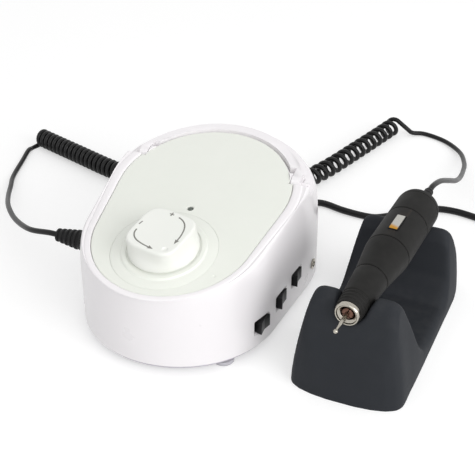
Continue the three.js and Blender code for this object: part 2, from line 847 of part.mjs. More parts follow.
function buildPanel() {
  const solid = toSolid(loft([
    planRing(pocketPlan, grooveGap, (y) => deckZ(y, panelDrop + panelThickness)),
    planRing(pocketPlan, grooveGap, (y) => deckZ(y, panelDrop + panelEdge)),
    planRing(pocketPlan, grooveGap + panelEdge, (y) => deckZ(y, panelDrop)),
  ]));
  const dialFloor = dialTop - dialThickness - clearance;
  addPiece("top_panel", cut(
    solid,
    onDeck(post(0, knobPlace, dialRadius + clearance, dialFloor, overrun, knobFacets)),
    onDeck(post(0, knobPlace, bushRadius + clearance, -3 * overrun, overrun)),
    onDeck(post(0, lensPlace, lensRadius + clearance, -3 * overrun, overrun)),
    ...bothSides.map(([, hand]) => earSlot(hand)),
    rearSector(rimRearRadius - barWidth - swingGap, bodyRearRadius,
      rebateFrontY, rebateDepth, -overrun),
  ), pearlPanel);
}

function buildDial() {
  const plate = turned([
    [bushRadius + clearance, dialTop - dialThickness], [dialRadius, dialTop - dialThickness],
    [dialRadius, dialTop], [collarRadius + collarHeight, dialTop], [collarRadius, collarTop],
    [bushRadius + clearance, collarTop], [bushRadius + clearance, dialTop - dialThickness],
  ], knobFacets);
  plate.rotateX(Math.PI / 2);
  addPiece("dial_plate", plate, pearlPanel, deck).position.y = knobPlace;

  const potTop = panelBase - clearance;
  const bore = shaftRadius + clearance;
  const pot = turned([
    [0, potTop - potHeight], [potRadius, potTop - potHeight], [potRadius, potTop],
    [bushRadius, potTop], [bushRadius, collarTop], [bore, collarTop],
    [bore, potTop - potBoreDepth], [0, potTop - potBoreDepth],
  ]);
  pot.rotateX(Math.PI / 2);
  addPiece("potentiometer", pot, plasticGrey, deck).position.y = knobPlace;

  const shaftLow = potTop - potBoreDepth + clearance;
  const shaft = post(0, 0, shaftRadius, shaftLow, knobBase + shaftEngagement);
  addPiece("pot_shaft", shaft, steel, deck).position.y = knobPlace;

  const lens = turned([
    [0, panelBase - clearance - lensFlangeHeight],
    [lensFlangeRadius, panelBase - clearance - lensFlangeHeight],
    [lensFlangeRadius, panelBase - clearance], [lensRadius, panelBase - clearance],
    [lensRadius, panelTop], [lensRadius * 0.7, panelTop + lensProud * 0.7],
    [0, panelTop + lensProud],
  ], smallFacets);
  lens.rotateX(Math.PI / 2);
  addPiece("status_lens", lens, lensAmber, deck).position.y = lensPlace;
}

// Knob: a round foot that grows into a rounded square top
function buildKnob() {
  const rise_shares = [0, 0.12, 0.3, 0.55, 0.9, 1];
  const square_shares = [0, 0, 0.45, 0.8, 1, 1];
  const rings = rise_shares.map((rise, level) => {
    const ring = [];
    for (let i = 0; i < knobFacets; i += 1) {
      const angle = (2 * Math.PI * i) / knobFacets;
      const [c, s] = [Math.cos(angle), Math.sin(angle)];
      const power = knob_square_share;
      const square = knobTopHalf / (Math.abs(c) ** power + Math.abs(s) ** power) ** (1 / power);
      const inset = rise === 1 ? knobEdge : 0;
      const radius = THREE.MathUtils.lerp(knobRadius, square, square_shares[level]) - inset;
      ring.push(new THREE.Vector3(radius * c, radius * s, rise * knobHeight));
    }
    return ring;
  });
  const cavityTop = knobHeight - knobWall;
  const cavity = toSolid(turned([
    [knobHubRadius, -overrun], [knobTopHalf - knobWall, -overrun],
    [knobTopHalf - knobWall, cavityTop], [knobHubRadius, cavityTop], [knobHubRadius, -overrun],
  ]).rotateX(Math.PI / 2));
  const bore = toSolid(post(0, 0, shaftRadius + clearance, -overrun, shaftEngagement + clearance));
  const knob = addPiece("knob", cut(toSolid(loft(rings)), cavity, bore), glossWhite, deck);
  knob.position.set(0, knobPlace, knobBase);
  knob.rotation.z = knobTurn;
}

// Rockers with their switch bodies behind the wall
function buildSwitches() {
  switch_places.forEach(({ y, z }, i) => {
    const frame = wallFrame(y, z);
    const bodyFace = -bossDepth - clearance;
    const body = toSolid(block(
      [bodyFace - switchBodyDepth, -switchBodyWidth / 2, -switchBodyHeight / 2],
      [bodyFace, switchBodyWidth / 2, switchBodyHeight / 2]));
    const mouth = toSolid(block(
      [bodyFace - switchMouthDepth, -apertureWidth / 2, -apertureHeight / 2],
      [bodyFace + overrun, apertureWidth / 2, apertureHeight / 2]));
    const bodyMesh = addPiece(`switch_body_${i + 1}`, cut(body, mouth), switchBlack);
    bodyMesh.applyMatrix4(frame);

    const face = rockerFaceReach;
    const outline = [
      [face, -rockerHalfWidth], [face - rockerDish, 0], [face, rockerHalfWidth],
      [0, rockerHalfWidth - rockerDish], [-rockerRootDepth, rockerRootHalfWidth],
      [-rockerRootDepth, -rockerRootHalfWidth], [0, rockerDish - rockerHalfWidth],
    ].map(([u, v]) => new THREE.Vector2(u, v));
    const settings = { depth: rockerHeight, bevelEnabled: false };
    const shape = new THREE.ExtrudeGeometry(new THREE.Shape(outline), settings);
    shape.translate(0, 0, -rockerHeight / 2);
    const pivot = new THREE.Group();
    pivot.applyMatrix4(frame.clone().multiply(
      new THREE.Matrix4().makeTranslation(-rockerPivotDepth, 0, 0)));
    device.add(pivot);
    addPiece(`rocker_${i + 1}`, shape, switchBlack, pivot).rotation.z = rockerTilt;
  });
}

function buildSockets() {
  const jackWall = wallAt(jackY).x;
  const jack = turned([
    [jackBore, -jackLength], [jackRadius, -jackLength], [jackRadius, clearance],
    [jackFlangeRadius, clearance], [jackFlangeRadius, clearance + jackFlangeThickness],
    [jackBore, clearance + jackFlangeThickness], [jackBore, -jackLength],
  ], smallFacets);
  jack.rotateZ(-Math.PI / 2);
  addPiece("pedal_jack", jack, steel).position.set(jackWall, jackY, jackZ);

  const seat = socketPadDepth + clearance;
  const socket = turned([
    [0, seat + socketLength], [socketRadius, seat + socketLength], [socketRadius, seat],
    [plugPinRadius + clearance, seat],
    [plugPinRadius + clearance, seat + socketLength - wallThickness],
    [0, seat + socketLength - wallThickness],
  ]);
  socket.rotateZ(-Math.PI / 2);
  addPiece("plug_socket", socket, plasticGrey).position.set(-plugWallX, plugY, plugZ);
}

function buildInternals() {
  const board = block(
    [-boardWidth / 2, boardY - boardDepth / 2, boardHeight],
    [boardWidth / 2, boardY + boardDepth / 2, boardHeight + boardThickness]);
  addPiece("circuit_board", board, boardGreen);
  const boardTop = boardHeight + boardThickness + clearance;

  let sink = toSolid(block(
    [-sinkWidth / 2, -sinkDepth / 2, 0], [sinkWidth / 2, sinkDepth / 2, sinkHeight]));
  const finPitch = sinkWidth / (2 * sinkFins - 1);
  for (let i = 0; i < sinkFins - 1; i += 1) {
    const low = -sinkWidth / 2 + finPitch * (2 * i + 1);
    sink = sink.subtract(toSolid(
      block([low, -sinkDepth, sinkBase], [low + finPitch, sinkDepth, sinkHeight + overrun])));
  }
  addPiece("heat_sink", toGeometry(sink), darkSteel).position.set(sinkX, sinkY, boardTop);

  const can = turned([
    [0, 0], [capacitorRadius, 0], [capacitorRadius, capacitorHeight], [0, capacitorHeight],
  ], smallFacets);
  can.rotateX(Math.PI / 2);
  addPiece("capacitor", can, plasticGrey).position.set(capacitorX, capacitorY, boardTop);

  const windowWidth = (coreWidth - coreLegWidth - 2 * coreYoke) / 2;
  const windowHigh = coreHeight - coreYoke;
  let core = toSolid(block(
    [-coreWidth / 2, -coreDepth / 2, 0], [coreWidth / 2, coreDepth / 2, coreHeight]));
  for (const hand of [-1, 1]) {
    const xs = [hand * (coreLegWidth / 2), hand * (coreLegWidth / 2 + windowWidth)]
      .sort((a, b) => a - b);
    core = core.subtract(toSolid(block([xs[0], -coreDepth, coreYoke], [xs[1], coreDepth, windowHigh])));
  }
  const coreBase = trayTop + clearance;
  addPiece("transformer_core", toGeometry(core), darkSteel).position.set(coreX, coreY, coreBase);

  const legHalf = coreLegWidth / 2 + clearance;
  const coilHalf = coreLegWidth / 2 + windowWidth - clearance;
  const coilDeep = coreDepth / 2 + windingOverhang;
  const winding = toSolid(block(
    [-coilHalf, -coilDeep, coreYoke + clearance], [coilHalf, coilDeep, windowHigh - clearance]));
  const leg = toSolid(block(
    [-legHalf, -coreDepth / 2 - clearance, 0], [legHalf, coreDepth / 2 + clearance, coreHeight]));
  addPiece("transformer_winding", cut(winding, leg), copper).position.set(coreX, coreY, coreBase);
}

// Handpiece: its own group runs along +Y, nose to tail
const handpiece = new THREE.Group();
const handpieceRun = handpieceTail.clone().sub(handpieceNose);
handpiece.position.copy(handpieceNose);
handpiece.rotation.set(
  Math.asin(handpieceRun.z / handpieceRun.length()), 0,
  -Math.atan2(handpieceRun.x, handpieceRun.y), "ZXY");
device.add(handpiece);
handpiece.updateMatrix();

const taperStart = sleeveEnd + jointGap;
const barrelStart = taperEnd + jointGap;
const capStart = barrelEnd + jointGap;
const sleeveStart = noseRingLength + clearance;
const boreRadius = noseTubeRadius + clearance;
const sleeveRadiusAt = (place) => THREE.MathUtils.mapLinear(
  place, sleeveStart, sleeveEnd, sleeveFrontRadius, sleeveRearRadius);

function buildGrip() {
  const ringInner = noseRingRadius - noseRingWall;
  const ringTailRadius = noseRingRadius - 3 * clearance;
  addPiece("nose_ring", turned([
    [ringInner, 0], [noseRingRadius, 0], [noseRingRadius, noseRingLength],
    [ringTailRadius, noseRingLength], [ringTailRadius, noseRingLength + noseRingTail],
    [ringInner, noseRingLength + noseRingTail], [ringInner, 0],
  ]), steel, handpiece);

  const outline = [[ringTailRadius + clearance, sleeveStart], [sleeveFrontRadius, sleeveStart]];
  for (let i = 0; i < sleeveRibs; i += 1) {
    const low = sleeveRibStart + i * sleeveRibPitch;
    const quarter = sleeveRibPitch / 4;
    outline.push([sleeveRadiusAt(low), low]);
    outline.push([sleeveRadiusAt(low) - sleeveRibDepth, low + quarter]);
    outline.push([sleeveRadiusAt(low + 2 * quarter), low + 2 * quarter]);
  }
  const mouthEnd = noseRingLength + noseRingTail + clearance;
  outline.push(
    [sleeveRearRadius, sleeveEnd], [boreRadius, sleeveEnd], [boreRadius, mouthEnd],
    [ringTailRadius + clearance, mouthEnd], [ringTailRadius + clearance, sleeveStart]);
  addPiece("twist_sleeve", turned(outline), softBlack, handpiece);

  addPiece("taper_sleeve", turned([
    [boreRadius, taperStart], [sleeveRearRadius, taperStart], [barrelRadius, taperEnd],
    [boreRadius, taperEnd], [boreRadius, taperStart],
  ]), softBlack, handpiece);

  // Nose tube: fixed in the taper sleeve, it carries the front bearing
  const tubeBore = noseTubeRadius - noseTubeWall;
  addPiece("nose_tube", turned([
    [tubeBore, noseTubeStart], [noseTubeRadius, noseTubeStart], [noseTubeRadius, taperEnd],
    [tubeBore, taperEnd], [tubeBore, noseTubeStart],
  ]), steel, handpiece);

  addPiece("front_bearing", turned([
    [spindleRadius + clearance, frontBearingStart], [tubeBore - clearance, frontBearingStart],
    [tubeBore - clearance, frontBearingStart + bearingLength],
    [spindleRadius + clearance, frontBearingStart + bearingLength],
    [spindleRadius + clearance, frontBearingStart],
  ], smallFacets), steel, handpiece);
}

function buildMotor() {
  const inner = barrelRadius - barrelWall;
  const plateFloor = barrelRadius - plateThickness + clearance;
  const barrel = toSolid(turned([
    [boreRadius, barrelStart], [barrelRadius, barrelStart], [barrelRadius, barrelEnd],
    [inner, barrelEnd], [inner, barrelStart + barrelWall], [boreRadius, barrelStart + barrelWall],
    [boreRadius, barrelStart],
  ]));
  const seat = toSolid(block(
    [-plateWidth / 2 - clearance, platePlace - plateLength / 2 - clearance, plateFloor],
    [plateWidth / 2 + clearance, platePlace + plateLength / 2 + clearance, barrelRadius + overrun]));
  addPiece("motor_barrel", cut(barrel, seat), softBlack, handpiece);
  addPiece("label_plate", block(
    [-plateWidth / 2, platePlace - plateLength / 2, plateFloor + clearance],
    [plateWidth / 2, platePlace + plateLength / 2, plateFloor + clearance + plateThickness]),
  silverPlate, handpiece);

  const magnetOuter = inner - clearance;
  const magnetInner = magnetOuter - magnetWall;
  const magnetEnd = magnetStart + magnetLength;
  addPiece("stator_magnet", turned([
    [magnetInner, magnetStart], [magnetOuter, magnetStart], [magnetOuter, magnetEnd],
    [magnetInner, magnetEnd], [magnetInner, magnetStart],
  ]), darkSteel, handpiece);

  const rotorRadius = magnetInner - rotorAirGap;
  const shaftHole = spindleRadius + clearance;
  const rotorEnd = magnetEnd - rotorMargin;
  addPiece("rotor", turned([
    [shaftHole, magnetStart + rotorMargin], [rotorRadius, magnetStart + rotorMargin],
    [rotorRadius, rotorEnd], [commutatorRadius, rotorEnd],
    [commutatorRadius, rotorEnd + commutatorLength], [shaftHole, rotorEnd + commutatorLength],
    [shaftHole, magnetStart + rotorMargin],
  ]), copper, handpiece);

  for (const [side, hand] of bothSides) {
    const inside = commutatorRadius + clearance;
    const xs = [hand * inside, hand * (inside + brushLength)].sort((a, b) => a - b);
    const place = rotorEnd + commutatorLength - brushWidth / 2;
    const brush = block(
      [xs[0], place - brushWidth / 2, -brushWidth / 2],
      [xs[1], place + brushWidth / 2, brushWidth / 2]);
    addPiece(`carbon_brush_${side}`, brush, plasticGrey, handpiece);
  }

  // Tail cap: its bridge holds the rear bearing and the brushes bear on two arms
  const capInner = barrelRadius - barrelWall;
  const bridgeLow = rearBearingStart;
  const bearingSeat = rearBearingRadius + clearance;
  const shell = toSolid(turned([
    [capInner, capStart], [barrelRadius, capStart], [barrelRadius, capEnd - capChamfer],
    [capEndRadius, capEnd], [reliefRootRadius - 3 * clearance, capEnd],
    [reliefRootRadius - 3 * clearance, capEnd - capChamfer],
    [capInner, capEnd - 2 * capChamfer], [capInner, capStart],
  ]));
  const bridge = toSolid(turned([
    [bearingSeat, bridgeLow], [capInner + barrelWall / 2, bridgeLow],
    [capInner + barrelWall / 2, bridgeLow + bearingLength],
    [spindleRadius + 2 * clearance, bridgeLow + bearingLength + bridgeThickness],
    [spindleRadius + 2 * clearance, bridgeLow + bearingLength + clearance],
    [bearingSeat, bridgeLow + bearingLength + clearance], [bearingSeat, bridgeLow],
  ]));
  let cap = shell.add(bridge);
  for (const hand of [-1, 1]) {
    const armLow = commutatorRadius + brushLength + 2 * clearance;
    const xs = [hand * armLow, hand * (bearingSeat + bridgeThickness)].sort((a, b) => a - b);
    const arm = block(
      [xs[0], rotorEnd + commutatorLength - brushWidth, -brushWidth / 2],
      [xs[1], bridgeLow + bridgeThickness, brushWidth / 2]);
    cap = cap.add(toSolid(arm));
  }
  addPiece("tail_cap", toGeometry(cap), softBlack, handpiece);
  addPiece("rear_bearing", turned([
    [shaftHole, bridgeLow], [rearBearingRadius, bridgeLow],
    [rearBearingRadius, bridgeLow + bearingLength], [shaftHole, bridgeLow + bearingLength],
    [shaftHole, bridgeLow],
  ], smallFacets), steel, handpiece);

  // Strain relief on the tail, anchored in the cap's mouth
  const reliefProfile = [
    [0, capEnd - capChamfer], [reliefRootRadius - 4 * clearance, capEnd - capChamfer],
    [reliefRootRadius - 4 * clearance, capEnd + clearance], [reliefRootRadius, capEnd + clearance],
  ];
  const ribPitch = reliefLength / reliefRibs;
  for (let i = 0; i < reliefRibs; i += 1) {
    const share = (i + 1) / reliefRibs;
    const radius = THREE.MathUtils.lerp(reliefRootRadius, reliefTipRadius, share);
    const end = capEnd + clearance + ribPitch * (i + 1);
    reliefProfile.push([radius + reliefRibDepth, end - ribPitch / 2]);
    reliefProfile.push([radius, end - ribPitch / 4], [radius, end]);
  }
  reliefProfile.push([0, capEnd + clearance + reliefLength]);
  addPiece("grip_relief", turned(reliefProfile, smallFacets), softBlack, handpiece);
}

function buildSpindle() {
  const shaftEnd = rearBearingStart + bearingLength;
  const colletEnd = colletStart + colletLength;
  addPiece("collet", turned([
    [colletBore, colletStart], [colletRadius * 0.8, colletStart],
    [colletRadius, colletStart + colletRadius / 2], [colletRadius, colletEnd],
    [colletBore, colletEnd], [colletBore, colletStart],
  ], smallFacets), darkSteel, handpiece);
  addPiece("spindle", turned([
    [0, colletEnd + clearance], [spindleRadius, colletEnd + clearance],
    [spindleRadius, shaftEnd], [0, shaftEnd],
  ], smallFacets), steel, handpiece);
  const ballCentre = burBallRadius - burReach;
  const profile = [[0, -burReach]];
  const ballSteps = 5;
  for (let i = 1; i < ballSteps; i += 1) {
    const angle = -Math.PI / 2 + (Math.PI * i) / (ballSteps + 1);
    profile.push([burBallRadius * Math.cos(angle), ballCentre + burBallRadius * Math.sin(angle)]);
  }
  profile.push(
    [burShankRadius * 0.7, ballCentre + burBallRadius], [burShankRadius, ballCentre + 2 * burBallRadius],
    [burShankRadius, burGrip], [0, burGrip]);
  addPiece("bur", turned(profile, smallFacets), steel, handpiece);
}

// Cradle: sections across it, then a saddle channel cut along the handpiece at each end
function buildCradle() {
  const rings = cradle_section_shares.map(([along, wide, high]) => {
    const y = cradleFrontY + along * cradleLength;
    const centre = cradleX + cradleDrift * (2 * along - 1);
    const top = high * cradleHeight;
    const half = wide * cradleHalfWidth;
    const edge = Math.min(cradleEdge, top / 2);
    const leanAt = (z) => cradleLean * (z / cradleHeight) ** lean_bend_share;
    const right = [0, 0.35, 0.7, 1].map((share) => {
      const z = share * (top - edge);
      return [half - leanAt(z), z];
    });
    const edgeX = half - leanAt(top - edge) - edge;
    const edgeSteps = 4;
    for (let i = 1; i <= edgeSteps; i += 1) {
      const angle = (Math.PI / 2) * (i / edgeSteps);
      right.push([edgeX + edge * Math.cos(angle), top - edge + edge * Math.sin(angle)]);
    }
    const left = right.map(([x, z]) => [-x, z]).reverse();
    return [...right, ...left].map(([x, z]) => new THREE.Vector3(centre + x, y, z));
  });
  const saddle = (start, end, startRadius, endRadius) => {
    const section = (place, radius) => {
      const points = [];
      for (let i = 0; i <= smallFacets; i += 1) {
        const angle = Math.PI + (Math.PI * i) / smallFacets;
        points.push(new THREE.Vector3(radius * Math.cos(angle), place, radius * Math.sin(angle)));
      }
      const spread = radius + saddle_flare_share * saddleRise;
      points.push(new THREE.Vector3(spread, place, saddleRise));
      points.push(new THREE.Vector3(-spread, place, saddleRise));
      return points;
    };
    return toSolid(loft([section(start, startRadius), section(end, endRadius)]), handpiece.matrix);
  };
  const frontEnd = sleeveEnd + overrun;
  const frontStart = -3 * overrun;
  const margin = clearance + clearance / 2;
  addPiece("cradle", cut(
    toSolid(loft(rings)),
    saddle(frontStart, frontEnd, sleeveRadiusAt(frontStart) + margin, sleeveRadiusAt(frontEnd) + margin),
    saddle(barrelEnd - 2 * overrun, capEnd + 4 * overrun, barrelRadius + margin, barrelRadius + margin),
  ), cradleSlate);
}

// Handpiece plug in the left wall, with a ribbed boot
function buildConsolePlug() {
  const profile = [[0, -plugPinLength], [plugPinRadius, -plugPinLength], [plugPinRadius, 2 * clearance]];
  profile.push([plugFlareRadius, 2 * clearance], [plugFlareRadius, plugLength / 6]);
  const ribPitch = (plugLength * 5) / 6 / (plugRibs + 1);
  for (let i = 0; i <= plugRibs; i += 1) {
    const radius = THREE.MathUtils.lerp(plugFlareRadius - plugRibDepth, plugNeckRadius, i / plugRibs);
    const low = plugLength / 6 + ribPitch * i;
    profile.push([radius, low + ribPitch / 4], [radius, low + ribPitch / 2]);
    profile.push([radius + plugRibDepth, low + (3 * ribPitch) / 4]);
  }
  profile.push([plugNeckRadius, plugLength], [0, plugLength]);
  const plug = turned(profile, smallFacets);
  plug.rotateZ(Math.PI / 2);
  addPiece("console_plug", plug, cordBlack, cords).position.set(-plugWallX, plugY, plugZ);
}

const point = (x, y, z) => new THREE.Vector3(x, y, z);
const routeCurve = (points) => new THREE.CatmullRomCurve3(points, false, "centripetal");

// Axis of the curly cord, lying on the table from the left round behind the box to the right
const curlHeight = curlRadius + strandRadius + clearance;
const curlAxis = routeCurve([
  point(-208.6, 148, curlHeight), point(-166, 134.2, curlHeight), point(-124, 121, curlHeight),
  point(-85, 113.5, curlHeight), point(-50, 112.5, curlHeight), point(-20, 122, curlHeight),
  point(5, 143, curlHeight), point(24, 179, curlHeight), point(41, 232, curlHeight),
  point(56, 284, curlHeight),
]);

// Curls per millimetre fall off where the cord is drawn out more
function curlPitch(share) {
  const t = THREE.MathUtils.smoothstep(share, curl_even_share, curl_open_share);
  return THREE.MathUtils.lerp(curlStartPitch, curlEndPitch, t);
}

function curlPath() {
  const slices = 2000;
  const turns = [0];
  for (let i = 1; i <= slices; i += 1) turns.push(turns[i - 1] + 1 / curlPitch((i - 0.5) / slices));
  const total = curlCount + curl_last_share;
  const scale = total / turns[slices];
  const steps = Math.round(total * curlSteps);
  const up = point(0, 0, 1);
  const points = [];
  let slice = 0;
  for (let step = 0; step <= steps; step += 1) {
    const turn = (total * step) / steps;
    while (slice < slices - 1 && turns[slice + 1] * scale < turn) slice += 1;
    const within = (turn - turns[slice] * scale) / ((turns[slice + 1] - turns[slice]) * scale);
    const share = Math.min((slice + within) / slices, 1);
    const along = curlAxis.getTangentAt(share);
    const across = along.clone().cross(up);
    const phase = Math.PI + 2 * Math.PI * turn;
    points.push(curlAxis.getPointAt(share)
      .addScaledVector(up, curlRadius * Math.cos(phase))
      .addScaledVector(across, curlRadius * Math.sin(phase)));
  }
  return straightEnds(points, 2 * strandRadius);
}

// Adds a straight run of one length to each end of a path
function straightEnds(points, length) {
  const last = points.length - 1;
  const first = points[0].clone().sub(points[1]).normalize();
  const final = points[last].clone().sub(points[last - 1]).normalize();
  return [
    points[0].clone().addScaledVector(first, length), ...points,
    points[last].clone().addScaledVector(final, length),
  ];
}

// Lead between two ends that it meets square, a clearance away from each
function addLead(name, from, fromWay, middle, to, toWay, radius) {
  const start = from.clone().addScaledVector(fromWay, clearance);
  const end = to.clone().addScaledVector(toWay, -clearance);
  const run = 3 * radius;
  const curve = routeCurve([
    start, start.clone().addScaledVector(fromWay, run), ...middle,
    end.clone().addScaledVector(toWay, -run), end,
  ]);
  const steps = Math.round(curve.getLength() / (6 * radius));
  addPiece(name, tubeAlong(curve, radius, leadSides, steps), cordBlack, cords);
  console.log(`${name}: ${curve.getLength().toFixed(0)} mm in ${steps} steps`);
}

function pathLength(points) {
  return points.slice(1).reduce((sum, p, i) => sum + p.distanceTo(points[i]), 0);
}

function buildHandpieceCord() {
  const path = curlPath();
  const gap = leastSelfGap(path, 2 * strandRadius, 3 * curlRadius);
  console.log(`curly_cord: ${pathLength(path).toFixed(0)} mm, least gap ${gap.toFixed(2)} mm`);
  addPiece("curly_cord", sweep(path, strandRadius, curlSides), cordBlack, cords);
  const last = path.length - 1;
  const startWay = path[1].clone().sub(path[0]).normalize();
  const endWay = path[last].clone().sub(path[last - 1]).normalize();
  addLead(
    "plug_lead", point(-plugWallX - plugLength, plugY, plugZ), point(-1, 0, 0), [
      point(-104, -21, 39.5), point(-114.2, -15.1, 36), point(-135.3, 2.4, 28),
      point(-158.7, 27.7, 19), point(-174, 49, 12), point(-187, 70.6, 6.4),
      point(-197.5, 89, 3), point(-206.1, 114.9, 2.3), point(-211.8, 134, 2.3),
    ], path[0], startWay, strandRadius);
  const tail = point(0, capEnd + clearance + reliefLength, 0).applyMatrix4(handpiece.matrix);
  const tailWay = handpieceRun.clone().normalize().negate();
  addLead(
    "grip_lead", path[last], endWay, [
      point(71, 284.5, 3.4), point(80, 288.5, 2.3), point(98.7, 282.3, 2.3),
      point(115.1, 265.7, 3.5), point(125, 237, 9), point(129, 210, 16.2),
      point(131.6, 182, 25.5), point(132.8, 155, 37), point(132.2, 130, 49.8), point(130.2, 108, 60.2),
    ], tail, tailWay, strandRadius);
}

// Gland and relief of the mains lead, the lead, and the rest of it wound away in a round coil
function buildMains() {
  const seat = glandPadDepth + clearance;
  const ribPitch = mainsReliefLength / mainsReliefRibs;
  const profile = [
    [0, -seat - glandFlangeThickness], [glandFlangeRadius, -seat - glandFlangeThickness],
    [glandFlangeRadius, -seat], [mainsReliefRadius, -seat],
    [mainsReliefRadius, 0],
  ];
  for (let i = 1; i <= mainsReliefRibs; i += 1) {
    const share = i / mainsReliefRibs;
    const radius = THREE.MathUtils.lerp(mainsReliefRadius, mainsRadius + clearance, share);
    profile.push([radius, ribPitch * (i - 0.5)], [radius - clearance, ribPitch * i]);
  }
  profile.push([0, mainsReliefLength]);
  const relief = addPiece("mains_relief", turned(profile, smallFacets), cordBlack, device);
  relief.position.set(glandX, glandWallY, glandZ);

  const path = coilPath();
  const gap = leastSelfGap(path, 2 * mainsRadius, 6 * mainsRadius);
  console.log(`mains_coil: ${pathLength(path).toFixed(0)} mm, least gap ${gap.toFixed(2)} mm`);
  addPiece("mains_coil", sweep(path, mainsRadius, loopSides), cordBlack, cords);
  addLead(
    "mains_lead", point(glandX, glandWallY + mainsReliefLength, glandZ), point(0, 1, 0), [
      point(23.5, 133, 8), point(30, 141.5, 3.2), point(39.3, 144.3, 2.8),
      point(56.3, 140.4, 2.8), point(72.2, 138.8, 2.8), point(80.9, 139.8, 2.8),
      point(88.4, 144.7, 2.8), point(103, 158, 2.8), point(119.1, 169, 2.8),
      point(133.2, 170.9, 2.8), point(148.4, 168.2, 2.8), point(168, 162.5, 3),
    ], path[0], point(1, 0, 0), mainsRadius);

  const plug = new THREE.Shape();
  const [halfLong, halfWide] = [mainsPlugLength / 2, mainsPlugWidth / 2];
  const corner = mainsPlugCorner;
  plug.moveTo(-halfLong, -halfWide / 2);
  plug.lineTo(-halfLong / 2, -halfWide);
  plug.lineTo(halfLong - corner, -halfWide);
  plug.absarc(halfLong - corner, corner - halfWide, corner, -Math.PI / 2, 0, false);
  plug.absarc(halfLong - corner, halfWide - corner, corner, 0, Math.PI / 2, false);
  plug.lineTo(-halfLong / 2, halfWide);
  plug.lineTo(-halfLong, halfWide / 2);
  const settings = { depth: mainsPlugHeight, bevelEnabled: false, curveSegments: 3 };
  const body = new THREE.ExtrudeGeometry(plug, settings);
  body.translate(0, 0, -mainsPlugHeight / 2);
  let solid = toSolid(body);
  for (const hand of [-1, 1]) {
    const y = (hand * contactSpacing) / 2;
    const pin = crossBar(contactRadius, halfLong - corner, halfLong + contactLength, y, 0);
    solid = solid.add(toSolid(pin));
  }
  const mesh = addPiece("mains_plug", toGeometry(solid), plasticGrey, cords);
  const end = path[path.length - 1];
  mesh.position.set(end.x + clearance + halfLong, end.y, end.z);

  const inner = coilInnerRadius() - mainsRadius - tieGap;
  const outer = coilOuterRadius + mainsRadius + tieGap;
  const low = coilBase() - mainsRadius - tieGap;
  const high = coilBase() + (coilLayers - 1) * coilStep + mainsRadius + tieGap;
  const band = toSolid(block(
    [-tieWidth / 2, inner - tieThickness, low - tieThickness],
    [tieWidth / 2, outer + tieThickness, high + tieThickness]));
  const hole = toSolid(block([-tieWidth, inner, low], [tieWidth, outer, high]));
  addPiece("coil_tie", cut(band, hole), softBlack, cords).position.set(coilX, coilY, 0);
}

const coilStep = 2 * mainsRadius + strandGap;
function coilInnerRadius() {
  return coilOuterRadius - (coilTurns / coilLayers) * coilStep;
}
function coilBase() {
  return clearance + tieThickness + tieGap + mainsRadius;
}

// The coil spirals in and out again, climbs one layer where it turns back, and ends in its plug
function coilPath() {
  const points = [];
  const steps = coilTurns * loopSteps;
  const perLayer = coilTurns / coilLayers;
  for (let step = 0; step <= steps; step += 1) {
    const turn = step / loopSteps;
    const along = turn / perLayer;
    const layer = Math.min(Math.floor(along), coilLayers - 1);
    const within = along - layer;
    const inwards = layer % 2 === 0 ? within : 1 - within;
    const radius = coilOuterRadius - inwards * perLayer * coilStep;
    let climb = 0;
    for (let edge = 1; edge < coilLayers; edge += 1) {
      const centre = edge * perLayer;
      climb += THREE.MathUtils.smoothstep(turn, centre - climb_half_share, centre + climb_half_share);
    }
    const angle = -Math.PI / 2 + 2 * Math.PI * turn;
    points.push(point(
      coilX + radius * Math.cos(angle), coilY + radius * Math.sin(angle),
      coilBase() + climb * coilStep));
  }
  const first = points[0].clone().add(point(-2 * mainsRadius, 0, 0));
  const end = points[points.length - 1];
  const plugHeight = mainsPlugHeight / 2 + clearance;
  const tail = routeCurve([
    end, point(end.x + 12, end.y, end.z - 1), point(end.x + 25, end.y, end.z - 6.5),
    point(end.x + 38, end.y, plugHeight + 1.2), point(end.x + 48, end.y, plugHeight),
    point(end.x + 56, end.y, plugHeight),
  ]);
  return [first, ...points, ...tail.getSpacedPoints(6).slice(1)];
}

buildTray();
buildFeetAndScrews();
buildHousing();
buildHandle();
buildPanel();
buildDial();
buildKnob();
buildSwitches();
buildSockets();
buildInternals();
buildGrip();
buildMotor();
buildSpindle();
buildCradle();
buildConsolePlug();
buildHandpieceCord();
buildMains();

// Centre the device, without its cords, over the origin
assembly.updateMatrixWorld(true);
const extent = new THREE.Box3().setFromObject(device, true);
assembly.position.set(-(extent.min.x + extent.max.x) / 2, -(extent.min.y + extent.max.y) / 2, 0);
console.log(`shift: ${assembly.position.x.toFixed(3)}, ${assembly.position.y.toFixed(3)}`);
const nailDrill = new THREE.Group();
nailDrill.add(assembly);

export default nailDrill;
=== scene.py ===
"""Electric nail drill: control box, handpiece lying in its cradle, curly cord and mains lead.

Pieces are modelled in millimetres in the control box's own frame, with +Y towards the rear, and
are then settled, in metres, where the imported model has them.
"""
import logging
import math
from dataclasses import astuple, dataclass
from enum import Enum
from functools import cache
from typing import Callable, Sequence

import bmesh
import bpy
import numpy as np
from mathutils import Matrix, Vector


